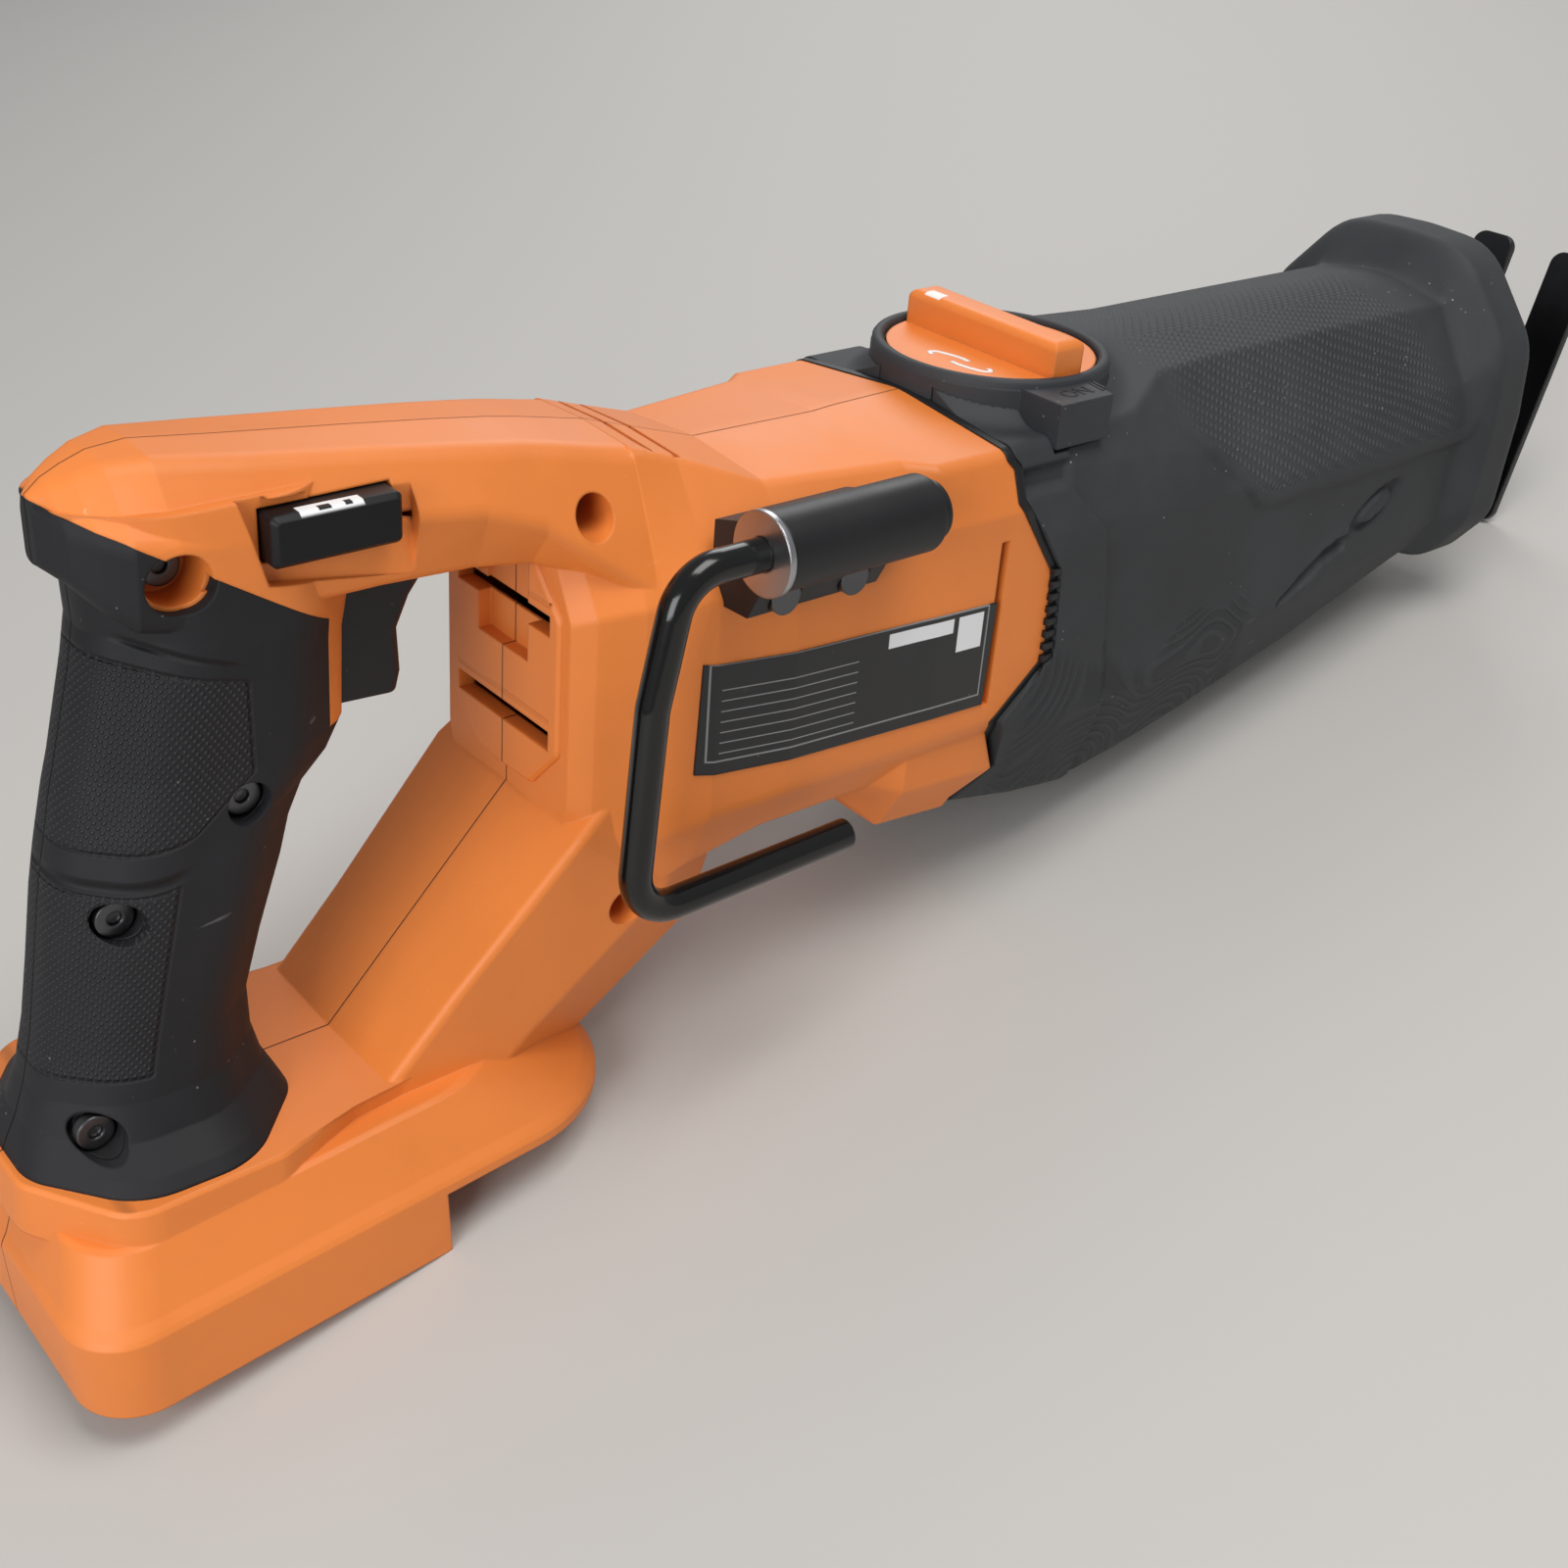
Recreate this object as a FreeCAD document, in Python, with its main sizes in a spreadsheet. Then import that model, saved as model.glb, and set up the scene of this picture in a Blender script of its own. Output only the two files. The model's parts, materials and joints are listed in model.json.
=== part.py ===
"""Cordless reciprocating saw with a D handle, as a parametric assembly.

The saw is laid out along its spindle: +X points to the blade end, Y is across
and Z is up, with zero at the rear lower edge of the battery foot.  The last
step turns and lifts every sub-part into the stance in which the tool rests on
the step of its foot and on the lower edge of its shoe.
"""
import FreeCAD
import Part
import math
import os
import re
import Sketcher
from FreeCAD import Placement, Rotation, Vector

os.makedirs("parts", exist_ok=True)

# Driving dimensions, millimetres and degrees.
SIZES = {
    # main layout
    "axis_height": 125.0,           # spindle axis above the foot's rear edge
    "motor_axis_height": 104.0,
    "vent_height": 108.0,
    "body_rear": 114.0,
    "body_front": 236.0,
    "body_half_width": 40.0,
    "body_top": 154.0,
    "body_bottom": 73.5,
    "shell_wall": 2.8,
    "fit_gap": 0.3,
    "running_gap": 0.05,
    # top arm and grip
    "arm_half_width": 18.8,
    "grip_half_width": 18.2,
    "rubber_wall": 2.5,
    "grip_base_height": 40.5,
    "rim_width": 2.0,
    # battery foot
    "foot_length": 127.0,
    "foot_half_width": 40.5,
    "foot_tilt": 3.4,
    "foot_wall_height": 20.0,
    "foot_shoulder_height": 33.5,
    "foot_step": 76.0,
    "foot_lip_bottom": 15.6,
    "rail_half_width": 29.5,
    "rail_height": 5.0,
    "dock_half_width": 33.5,
    "dock_roof": 15.6,
    # rubber boot and gear case
    "boot_half_width": 41.0,
    "boot_top": 160.5,
    "boot_wall": 3.1,
    "boot_front": 425.0,
    "boot_lip": 8.0,
    "gasket_width": 2.2,
    "flange_depth": 14.0,           # boot's front edge to the case's front face
    "case_wall": 4.0,
    "case_rear_wall": 10.0,
    "case_nose": 26.0,
    "case_web": 14.0,
    # orbital dial
    "dial_centre": 246.0,
    "dial_radius": 24.3,
    "dial_face": 160.5,
    "dial_thick": 4.0,
    "dial_bar_width": 9.0,
    "dial_bar_height": 8.0,
    "dial_stem_radius": 6.0,
    "dial_stem_length": 16.0,
    "collar_width": 3.2,
    "collar_foot": 150.0,
    # drive
    "crown_centre": 290.0,
    "crown_radius": 27.5,
    "crown_face_width": 6.5,
    "crown_thick": 3.5,
    "crown_shaft_radius": 4.0,
    "bearing_radius": 9.5,
    "bearing_width": 6.0,
    "crown_teeth": 48.0,
    "tooth_width": 1.2,
    "tooth_height": 1.8,
    "pinion_teeth": 8.0,
    "pinion_radius": 4.9,
    "crank_radius": 14.3,
    "crank_pin_radius": 4.0,
    "crank_roller_radius": 7.0,
    "spindle_radius": 8.0,
    "bush_wall": 2.5,
    "clamp_stand": 1.0,             # boot's front edge to the blade clamp
    "seal_width": 3.5,
    "bush_length": 18.0,
    "yoke_wall": 4.0,
    "yoke_height": 16.0,
    # motor
    "stator_radius": 26.0,
    "stator_bore": 14.5,
    "stator_length": 30.0,
    "stator_start": 142.0,
    "rotor_air_gap": 0.6,
    "motor_shaft_radius": 3.0,
    "fan_radius": 23.0,
    "fan_start": 180.0,
    "fan_width": 9.0,
    "bell_thick": 9.0,
    # blade clamp
    "clamp_wall": 2.0,
    "clamp_sleeve_wall": 3.0,
    "clamp_length": 22.0,
    "blade_slot_thick": 1.8,
    "blade_slot_height": 13.0,
    # shoe
    "shoe_width": 40.0,
    "shoe_height": 82.0,
    "shoe_thick": 2.6,
    "shoe_lean": 14.0,
    "shoe_low_edge": 78.0,
    "shoe_stand": 40.0,             # boot's front edge to the shoe's low edge
    "shoe_slot_width": 13.5,
    "shoe_post_width": 22.0,
    "shoe_post_thick": 5.0,
    "shoe_post_length": 116.0,
    "shoe_pin_radius": 3.0,
    "shoe_pin_back": 9.0,
    "shoe_pin_up": 20.0,
    "shoe_ear_thick": 2.6,
    "release_radius": 5.0,
    "release_travel": 3.0,
    "release_back": 33.0,
    "lamp_radius": 4.0,
    "lamp_side": 22.0,
    "lamp_drop": 14.0,
    # hook
    "hook_wire_radius": 3.4,
    "hook_stand": 6.0,              # body's side to the hook's axis
    "hook_axis_height": 149.4,
    "hook_sleeve_radius": 8.0,
    "hook_sleeve_start": 141.5,
    "hook_sleeve_length": 40.0,
    "hook_drop": 72.4,
    "hook_rear": 114.0,
    "hook_reach": 170.0,
    # trigger and lock
    "trigger_width": 17.0,
    "trigger_travel": 6.0,
    "lock_start": 54.0,
    "lock_lift": 1.6,
    "lock_length": 25.0,
    "lock_height": 9.5,
    "lock_travel": 5.0,
    # screws
    "screw_radius": 2.0,
    "screw_head_radius": 3.6,
    "screw_well_radius": 4.3,
    "top_well_radius": 5.4,
    "boss_wall": 1.4,
    "case_screw_side": 31.5,
    "case_screw_low": 92.0,
    "case_screw_high": 132.0,
    "pilot_gap": 0.1,
    "label_length": 77.0,
    "label_height": 25.0,
    "label_thick": 0.5,
    "switch_front": 60.0,
    "switch_length": 21.0,
    "switch_width": 19.0,
    "switch_height": 23.0,
    "board_length": 38.0,
    "board_width": 36.0,
    "board_thick": 13.0,
    "terminal_length": 17.0,
    "terminal_width": 50.0,
    "terminal_height": 10.0,
}

document = FreeCAD.newDocument("reciprocating_saw")
sheet = document.addObject("Spreadsheet::Sheet", "Sizes")
for row, (alias, value) in enumerate(SIZES.items(), start=1):
    sheet.set(f"A{row}", alias)
    sheet.set(f"B{row}", str(value))
    sheet.setAlias(f"B{row}", alias)
document.recompute()

SUB_PARTS = []


def size(alias):
    """Value of one named dimension."""
    return float(sheet.get(alias))


# Places that follow from the driving dimensions, as formulas of their names.
CASE_FRONT = "(boot_front - flange_depth)"
CLAMP_START = "(boot_front + clamp_stand)"
CLAMP_RADIUS = "(spindle_radius + clamp_wall)"
SLEEVE_RADIUS = "(spindle_radius + clamp_wall + clamp_sleeve_wall)"
HOOK_SIDE = "(-body_half_width - hook_stand)"
STRUT_ANGLE = math.radians(46.3)


def case_front():
    """Front face of the gear case along the tool."""
    return size("boot_front") - size("flange_depth")


def shoe_edge():
    """Low edge of the shoe along the tool."""
    return size("boot_front") + size("shoe_stand")


def release_place():
    """Axis of the shoe's release button along the tool."""
    return size("boot_front") - size("release_back")


def hook_side():
    """Axis of the folding hook across the tool."""
    return -size("body_half_width") - size("hook_stand")


def pilot_radius():
    """Radius of the hole that a screw's shank runs in."""
    return size("screw_radius") + size("pilot_gap")


def formula(text):
    """Expression in which every named dimension points at the sheet."""
    return re.sub(r"[a-z_]{3,}", lambda word: f"Sizes.{word[0]}" if word[0] in SIZES else word[0], str(text))


def bind(item, **properties):
    """Bind properties of an object to formulas."""
    for name, text in properties.items():
        item.setExpression(name, formula(text))
    return item


AXES = {
    "x": Rotation(Vector(0, 1, 0), 90),
    "y": Rotation(Vector(1, 0, 0), -90),
    "z": Rotation(),
}


def place(item, at, axis="z"):
    """Turn an object's own Z along an axis and bind its base point."""
    item.Placement = Placement(Vector(), AXES[axis])
    for letter, text in zip("xyz", at):
        item.setExpression(f"Placement.Base.{letter}", formula(text))
    return item


def cylinder(name, radius, length, at, axis="z"):
    """Bound cylinder that starts at a point and runs along an axis."""
    item = document.addObject("Part::Cylinder", name)
    bind(item, Radius=radius, Height=length)
    return place(item, at, axis)


def box(name, length, width, height, at):
    """Bound box centred across Y, from its rear lower edge."""
    item = document.addObject("Part::Box", name)
    bind(item, Length=length, Width=width, Height=height)
    return place(item, (at[0], f"{at[1]} - ({width}) / 2", at[2]))


def fuse(name, *items):
    """Union of several objects."""
    item = document.addObject("Part::MultiFuse", name)
    item.Shapes = list(items)
    return item


def cut(name, base, *tools):
    """Difference of an object and one or more tools."""
    item = document.addObject("Part::Cut", name)
    item.Base = base
    item.Tool = tools[0] if len(tools) == 1 else fuse(f"{name}_tools", *tools)
    return item


def ring(name, outer, inner, length, at, axis="z"):
    """Bound tube."""
    start = list(at)
    letter = "xyz".index(axis)
    start[letter] = f"{at[letter]} - 1"
    wall = cylinder(f"{name}_outside", outer, length, at, axis)
    hole = cylinder(f"{name}_bore", inner, f"{length} + 2", start, axis)
    return cut(name, wall, hole)


def feature(name, shape):
    """Object with a shape worked out here from the sheet's values."""
    item = document.addObject("Part::Feature", name)
    item.Shape = shape
    return item


def sub_part(label, *solids):
    """Group one sub-part's solids under its own label."""
    item = document.addObject("Part::Compound", f"{label}_part")
    item.Links = list(solids)
    item.Label = label
    SUB_PARTS.append(item)
    return item


# Outlines and lofts ------------------------------------------------------


def mirrored(half):
    """Full outline from the half between its top and bottom centre corners."""
    return half + [(-y, z, radius) for y, z, radius in reversed(half[1:-1])]


def inset(corners, depth):
    """Convex outline moved inwards by a depth."""
    moved = []
    for index, (a, b, radius) in enumerate(corners):
        here = Vector(a, b, 0)
        back = Vector(*corners[index - 1][:2], 0) - here
        ahead = Vector(*corners[(index + 1) % len(corners)][:2], 0) - here
        half = back.getAngle(ahead) / 2
        middle = (back.normalize() + ahead.normalize()).normalize()
        spot = here + middle * (depth / math.sin(half))
        moved.append((spot.x, spot.y, max(radius - depth, 0.4)))
    return moved


def rounded_wire(corners, lift):
    """Closed wire of straight sides and tangent arcs; lift puts a point in space."""
    arcs = []
    for index, (a, b, radius) in enumerate(corners):
        here = Vector(a, b, 0)
        back = Vector(*corners[index - 1][:2], 0) - here
        ahead = Vector(*corners[(index + 1) % len(corners)][:2], 0) - here
        half = back.getAngle(ahead) / 2
        reach = min(radius / math.tan(half), 0.45 * back.Length, 0.45 * ahead.Length)
        back.normalize()
        ahead.normalize()
        middle = (back + ahead).normalize()
        depth = reach / math.cos(half) - reach * math.tan(half)
        arcs.append((here + back * reach, here + middle * depth, here + ahead * reach))
    edges = []
    for index, (start, middle, end) in enumerate(arcs):
        edges.append(Part.Arc(lift(start), lift(middle), lift(end)).toShape())
        following = arcs[(index + 1) % len(arcs)][0]
        edges.append(Part.LineSegment(lift(end), lift(following)).toShape())
    return Part.Wire(edges)


def loft(wires):
    """Solid with ruled sides through a row of wires."""
    return Part.makeLoft(wires, True, True)


def across(x):
    """Lift an outline of (y, z) to the plane across the tool at x."""
    return lambda point: Vector(x, point.x, point.y)


def level(z):
    """Lift an outline of (x, y) to the level plane at z."""
    return lambda point: Vector(point.x, point.y, z)


def sideways(y):
    """Lift an outline of (x, z) to the upright plane at y."""
    return lambda point: Vector(point.x, y, point.y)


def prism_across(points, low, high):
    """Side outline of (x, z) points drawn out from y = low to y = high."""
    wire = Part.makePolygon([Vector(x, low, z) for x, z in points + points[:1]])
    return Part.Face(wire).extrude(Vector(0, high - low, 0))


def blend(rows, x):
    """Row of a table at x, straight between its neighbours."""
    if x <= rows[0][0]:
        return rows[0][1]
    for (x_a, row_a), (x_b, row_b) in zip(rows[:-1], rows[1:]):
        if x <= x_b:
            part = (x - x_a) / (x_b - x_a)
            return [tuple(p + (q - p) * part for p, q in zip(a, b)) for a, b in zip(row_a, row_b)]
    return rows[-1][1]


# Outer form of the housing -----------------------------------------------


def arm_rows():
    """Stations of the top arm: x and half outline (crown, top edge, widest edge, lower edge)."""
    wide = size("arm_half_width")
    spread = size("body_half_width") / 40.0
    rear = size("body_rear")
    crown = size("body_top")
    table = [
        (21.3, 14.9, 0.08, 14.3, 0.13, 11.5, 0.13, 3.0),
        (24.0, 17.2, 0.18, 16.6, 0.50, 11.0, 0.48, 1.0),
        (27.5, 19.0, 0.27, 18.2, 0.76, 10.5, 0.70, -3.0),
        (32.0, 20.6, 0.36, 20.0, 0.94, 9.0, 0.86, -7.0),
        (39.0, 21.2, 0.52, 20.6, 0.99, 8.0, 0.88, -8.5),
        (54.0, 19.4, 0.60, 18.8, 1.00, 7.0, 0.88, -8.5),
        (78.0, 16.8, 0.66, 16.1, 1.01, 6.0, 0.83, -9.0),
        (97.0, 14.6, 0.73, 13.8, 1.06, 3.0, 0.80, -10.0),
    ]
    rows = []
    for x, top, edge, edge_z, broad, broad_z, low, low_z in table:
        rows.append((x, [
            (0.0, crown + top, 24.0),
            (wide * edge, crown + edge_z, 5.0),
            (wide * broad, crown + broad_z, 4.0),
            (wide * low, crown + low_z, 3.0),
            (0.0, crown + low_z - 0.6, 20.0),
        ]))
    shoulder = [
        (rear - 5.0, 13.0, 14.4, 12.2, 22.0, -2.0, 15.5, -11.5),
        (rear + 2.0, 11.8, 15.4, 11.0, 24.6, -8.0, 18.0, -13.5),
        (rear + 17.0, 8.8, 16.8, 8.0, 29.4, -19.8, 21.0, -24.5),
        (rear + 21.0, 4.5, 15.8, 3.8, 28.4, -21.6, 20.0, -26.5),
    ]
    for x, top, edge, edge_z, broad, broad_z, low, low_z in shoulder:
        rows.append((x, [
            (0.0, crown + top, 24.0),
            (spread * edge, crown + edge_z, 5.0),
            (spread * broad, crown + broad_z, 4.0),
            (spread * low, crown + low_z, 3.0),
            (0.0, crown + low_z - 0.6, 20.0),
        ]))
    return rows


def body_rows():
    """Stations of the motor body: x and half outline (crown, top, upper side, lower side, bottom)."""
    spread = size("body_half_width") / 40.0
    rear = size("body_rear")
    front = size("body_front")
    top = size("body_top")
    low = size("body_bottom")
    table = [
        (rear, -6.0, 14.0, -6.6, 22.0, -23.0, 22.0, 17.0, 19.0, 5.0, 3.5),
        (rear + 4.0, -3.5, 15.0, -4.0, 25.4, -21.5, 25.2, 12.0, 21.0, -2.0, -4.0),
        (rear + 13.0, 3.6, 15.8, 3.0, 29.2, -20.0, 28.6, 6.0, 22.0, -12.0, -14.0),
        (rear + 17.0, 8.9, 16.8, 8.1, 29.8, -20.0, 29.6, 6.5, 23.0, -14.0, -15.5),
        (rear + 27.0, 5.8, 17.2, 5.0, 34.2, -19.5, 35.0, 12.0, 28.0, -5.0, -6.0),
        (rear + 45.0, 0.4, 23.3, -1.6, 37.2, -17.5, 37.8, 14.0, 30.5, 0.6, 0.0),
        (rear + 78.0, 0.1, 29.0, -1.8, 38.4, -15.5, 39.2, 14.0, 31.0, 0.6, 0.0),
        (rear + 84.0, 0.6, 34.3, -2.4, 38.8, -15.0, 39.5, 14.0, 31.5, 0.6, 0.0),
        (front, 1.8, 34.8, -2.4, 40.0, -15.0, 40.4, 14.0, 32.0, 0.6, 0.0),
    ]
    rows = []
    for x, crown, edge, edge_z, side, side_z, flank, flank_z, base, base_z, keel in table:
        rows.append((x, [
            (0.0, top + crown, 30.0),
            (spread * edge, top + edge_z, 3.5),
            (spread * side, top + side_z, 3.0),
            (spread * flank, low + flank_z, 7.0),
            (spread * base, low + base_z, 8.0),
            (0.0, low + keel, 20.0),
        ]))
    return rows


def strut_rows():
    """Stations along the strut: distance and half outline in (across, outwards)."""
    spread = size("body_half_width") / 40.0
    return [
        (-16.0, [(0.0, -0.4, 30.0), (24.2 * spread, 0.0, 2.0), (25.2 * spread, 22.0, 4.0),
                 (15.0 * spread, 44.0, 5.0), (0.0, 45.0, 20.0)]),
        (22.0, [(0.0, -0.4, 30.0), (25.0 * spread, 0.0, 2.0), (25.6 * spread, 24.0, 4.0),
                (16.0 * spread, 46.0, 5.0), (0.0, 47.5, 20.0)]),
        (62.0, [(0.0, -0.4, 30.0), (27.6 * spread, 0.0, 2.0), (27.4 * spread, 30.0, 4.0),
                (18.0 * spread, 53.0, 5.0), (0.0, 55.0, 20.0)]),
        (84.0, [(0.0, 2.0, 30.0), (25.0 * spread, 3.0, 2.0), (25.0 * spread, 30.0, 4.0),
                (16.0 * spread, 44.0, 5.0), (0.0, 46.0, 20.0)]),
    ]


def along_strut(distance):
    """Lift an outline of (across, outwards) to the plane across the strut."""
    forward = Vector(math.cos(STRUT_ANGLE), 0, math.sin(STRUT_ANGLE))
    outward = Vector(math.sin(STRUT_ANGLE), 0, -math.cos(STRUT_ANGLE))
    corner = Vector(size("body_rear") - 43.2, 0, size("grip_base_height"))
    return lambda point: corner + forward * distance + Vector(0, point.x, 0) + outward * point.y


def grip_rows():
    """Stations up the grip: height, rear, front and half width of its oval."""
    wide = size("grip_half_width")
    base = size("grip_base_height")
    return [
        (base, 2.0, 55.0, 1.64 * wide),
        (base + 2.5, 3.0, 54.0, 1.50 * wide),
        (base + 7.0, 5.2, 52.0, 1.17 * wide),
        (base + 14.0, 7.6, 50.6, 1.03 * wide),
        (base + 24.0, 10.0, 50.4, 1.00 * wide),
        (base + 37.0, 12.2, 54.3, 1.00 * wide),
        (base + 52.0, 14.6, 59.4, 1.02 * wide),
        (base + 60.0, 16.2, 61.6, 1.02 * wide),
        (base + 67.0, 17.8, 65.0, 1.02 * wide),
        (base + 72.0, 18.8, 70.5, 1.01 * wide),
        (base + 78.0, 20.4, 74.0, 1.00 * wide),
        (base + 96.0, 25.0, 74.5, 1.01 * wide),
        (base + 104.0, 26.6, 76.0, 1.02 * wide),
        (base + 112.0, 26.4, 76.0, 1.03 * wide),
        (base + 120.0, 24.4, 76.0, 1.03 * wide),
        (base + 127.0, 21.5, 76.0, 0.98 * wide),
    ]


def grip_outline(rear, front, wide):
    """Oval outline of the grip in (x, y)."""
    depth = front - rear
    half = [(rear, 0.36 * wide, 12.0), (rear + 0.27 * depth, 0.98 * wide, 16.0),
            (front - 0.30 * depth, wide, 16.0), (front, 0.44 * wide, 10.0)]
    return half + [(x, -y, radius) for x, y, radius in reversed(half)]


def grip_solid(depth, low, high):
    """Grip's oval column, moved inwards by a depth, between two heights."""
    rows = [(z, [(rear, front, wide)]) for z, rear, front, wide in grip_rows()]
    heights = [low] + [row[0] for row in rows if low + 0.5 < row[0] < high - 0.5] + [high]
    wires = []
    for z in heights:
        rear, front, wide = blend(rows, z)[0]
        corners = grip_outline(rear, front, wide)
        wires.append(rounded_wire(inset(corners, depth) if depth else corners, level(z)))
    return loft(wires)


def row_solid(rows, depth, lift, low=None, high=None):
    """Loft through stations of mirrored outlines, moved inwards by a depth."""
    low = rows[0][0] if low is None else low
    high = rows[-1][0] if high is None else high
    spots = [low] + [row[0] for row in rows if low + 0.5 < row[0] < high - 0.5] + [high]
    wires = []
    for spot in spots:
        corners = mirrored(blend(rows, spot))
        wires.append(rounded_wire(inset(corners, depth) if depth else corners, lift(spot)))
    return loft(wires)


def foot_frame(shape):
    """Turn a shape drawn level into the tilted frame of the foot."""
    shape.rotate(Vector(), Vector(0, 1, 0), -size("foot_tilt"))
    return shape


def foot_outline(shrink, front_trim):
    """Plan outline of the foot, drawn in by shrink all round and by a trim at its front."""
    length = size("foot_length")
    wide = size("foot_half_width")
    half = [(shrink * 0.7, wide + 0.5 - shrink, 13.0),
            (length - front_trim, wide - 2.5 - shrink, 29.0 - 0.4 * shrink)]
    return half + [(x, -y, radius) for x, y, radius in reversed(half)]


def foot_solid():
    """Foot block with its sloping shoulder, its front lip and the pedestal of the grip."""
    wall_top = size("foot_wall_height")
    shoulder = size("foot_shoulder_height")
    edge = 2.2
    base = loft([rounded_wire(foot_outline(0.0, 0.0), level(0.0)),
                 rounded_wire(foot_outline(0.0, 0.0), level(wall_top - edge)),
                 rounded_wire(foot_outline(0.6, 0.6), level(wall_top - 0.5 * edge)),
                 rounded_wire(foot_outline(edge, edge), level(wall_top + 0.8))])
    top = loft([rounded_wire(foot_outline(edge, edge), level(wall_top + 0.8)),
                rounded_wire(foot_outline(8.2, 22.0), level(shoulder - 1.5)),
                rounded_wire(foot_outline(9.4, 25.0), level(shoulder - 1.0))])
    step = size("foot_step")
    below = Part.makeBox(size("foot_length"), 4 * size("foot_half_width"), size("foot_lip_bottom") + 30.0,
                         Vector(step, -2 * size("foot_half_width"), -30.0))
    foot = base.fuse(top).cut(below)
    return foot_frame(foot)


def pedestal_solid():
    """Raised plinth that the grip and the strut stand on."""
    wide = 1.64 * size("grip_half_width") + size("rim_width")
    base = size("grip_base_height")
    low = size("foot_shoulder_height") - 4.0
    half = [(0.4, 0.34 * wide, 8.0), (13.5, wide, 10.0), (44.0, wide - 0.6, 8.0),
            (62.0, 0.80 * wide, 10.0), (100.0, 0.72 * wide, 8.0)]
    outline = half + [(x, -y, radius) for x, y, radius in reversed(half)]
    return loft([rounded_wire(inset(outline, -0.8), level(low)),
                 rounded_wire(outline, level(base - 0.8)),
                 rounded_wire(inset(outline, 0.7), level(base))])


def lug_solid():
    """Wedge under the body's front corner, where the gear case bolts on."""
    front = size("body_front")
    low = size("body_bottom")
    spread = size("body_half_width") / 40.0
    rows = []
    for x, wide, top, base in ((front - 56.0, 27.0, 10.0, 3.0), (front - 40.0, 37.0, 14.0, -11.0),
                               (front, 38.4, 12.0, -14.0)):
        rows.append((x, [(0.0, low + top, 20.0), (spread * wide, low + top - 0.6, 2.0),
                         (spread * wide, low + 0.45 * (base + top), 3.0),
                         (spread * (wide - 7.0), low + base, 3.0), (0.0, low + base - 0.5, 20.0)]))
    return row_solid(rows, 0.0, across)


def jag(offset):
    """Stepped line between housing and boot, as (x, z) points from top to bottom."""
    front = size("body_front")
    top = size("body_top")
    low = size("body_bottom")
    collar = size("dial_radius") + size("fit_gap") + size("collar_width")
    rim = size("dial_centre") - collar - 1.0 - front
    line = [(rim, top + 30.0), (rim, top - 4.0), (rim + 1.8, top - 6.0), (rim + 1.8, top - 13.0),
            (-4.5, top - 31.0), (-2.5, low + 28.0), (-17.5, low + 14.5), (-12.5, low),
            (-20.0, low - 8.0), (-20.0, low - 40.0)]
    return [(front + x + offset, z) for x, z in line]


def behind_jag(offset):
    """Everything behind the stepped line, as a thick side prism."""
    wide = 2 * size("body_half_width")
    points = jag(offset) + [(-40.0, size("body_bottom") - 130.0), (-40.0, size("body_top") + 60.0)]
    return prism_across(points, -wide, wide)


def rubber_zone():
    """Side region in which the grip carries its rubber skin."""
    arm = size("body_top")
    base = size("grip_base_height")
    points = [(-20.0, base), (-20.0, arm + 14.8), (20.5, arm + 14.6), (31.0, arm + 9.8), (45.0, arm + 1.3),
              (67.5, arm - 13.3), (67.5, base + 77.5), (90.0, base + 76.0), (90.0, base)]
    return prism_across(points, -60.0, 60.0)


SCREWS = {
    # name: x, z, surface depth from the mid plane, well radius, seat of the head
    "grip_top": (38.9, 155.7, 18.6, "top_well_radius", 7.0),
    "body_top": (119.3, 152.1, 24.0, "screw_well_radius", 9.0),
    "body_low": (126.5, 64.5, 23.0, "screw_well_radius", 9.0),
    "grip_front": (48.0, 110.8, 17.5, "screw_well_radius", 12.6),
    "grip_rear": (23.6, 92.0, 14.6, "screw_well_radius", 10.0),
    "grip_base": (14.6, 49.0, 17.6, "screw_well_radius", 12.6),
}


def across_cylinder(radius, x, z, start, end):
    """Cylinder across the tool between two values of y."""
    return Part.makeCylinder(radius, end - start, Vector(x, start, z), Vector(0, 1, 0))


def boss_solids():
    """Screw bosses that join the two halves inside."""
    solids = []
    for x, z, surface, well, _ in SCREWS.values():
        radius = size(well) + size("boss_wall")
        solids.append(across_cylinder(radius, x, z, -surface - 8.0, surface + 8.0))
    return solids


def well_solids():
    """Screw wells in the right half and pilot holes in the left."""
    solids = []
    for x, z, surface, well, seat in SCREWS.values():
        solids.append(across_cylinder(size(well), x, z, -surface - 20.0, -seat))
        solids.append(across_cylinder(pilot_radius(), x, z, -seat - 1.0, 9.0))
    return solids


def vent_solids():
    """Louvre slots in the body's rear face and the tall slots by its front edge."""
    rear = size("body_rear")
    axis = size("vent_height")
    front = size("body_front")
    wide = size("body_half_width")
    solids = []
    for z in (axis - 7.0, axis + 18.5):
        solids.append(Part.makeBox(9.0, 33.0, 2.6, Vector(rear - 4.0, -16.5, z)))
        solids.append(Part.makeBox(2.6, 33.0, 4.6, Vector(rear - 1.4, -16.5, z)))
        solids.append(Part.makeBox(1.2, 33.0, 1.0, Vector(rear - 1.0, -16.5, z + 6.2)))
    for side in (-1, 1):
        slot = Part.makeBox(2.4, 12.0, 40.0, Vector(front - 21.2, -6.0, axis - 15.0))
        slot.translate(Vector(0, side * (wide - 3.0), 0))
        solids.append(slot)
    return solids


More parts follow.
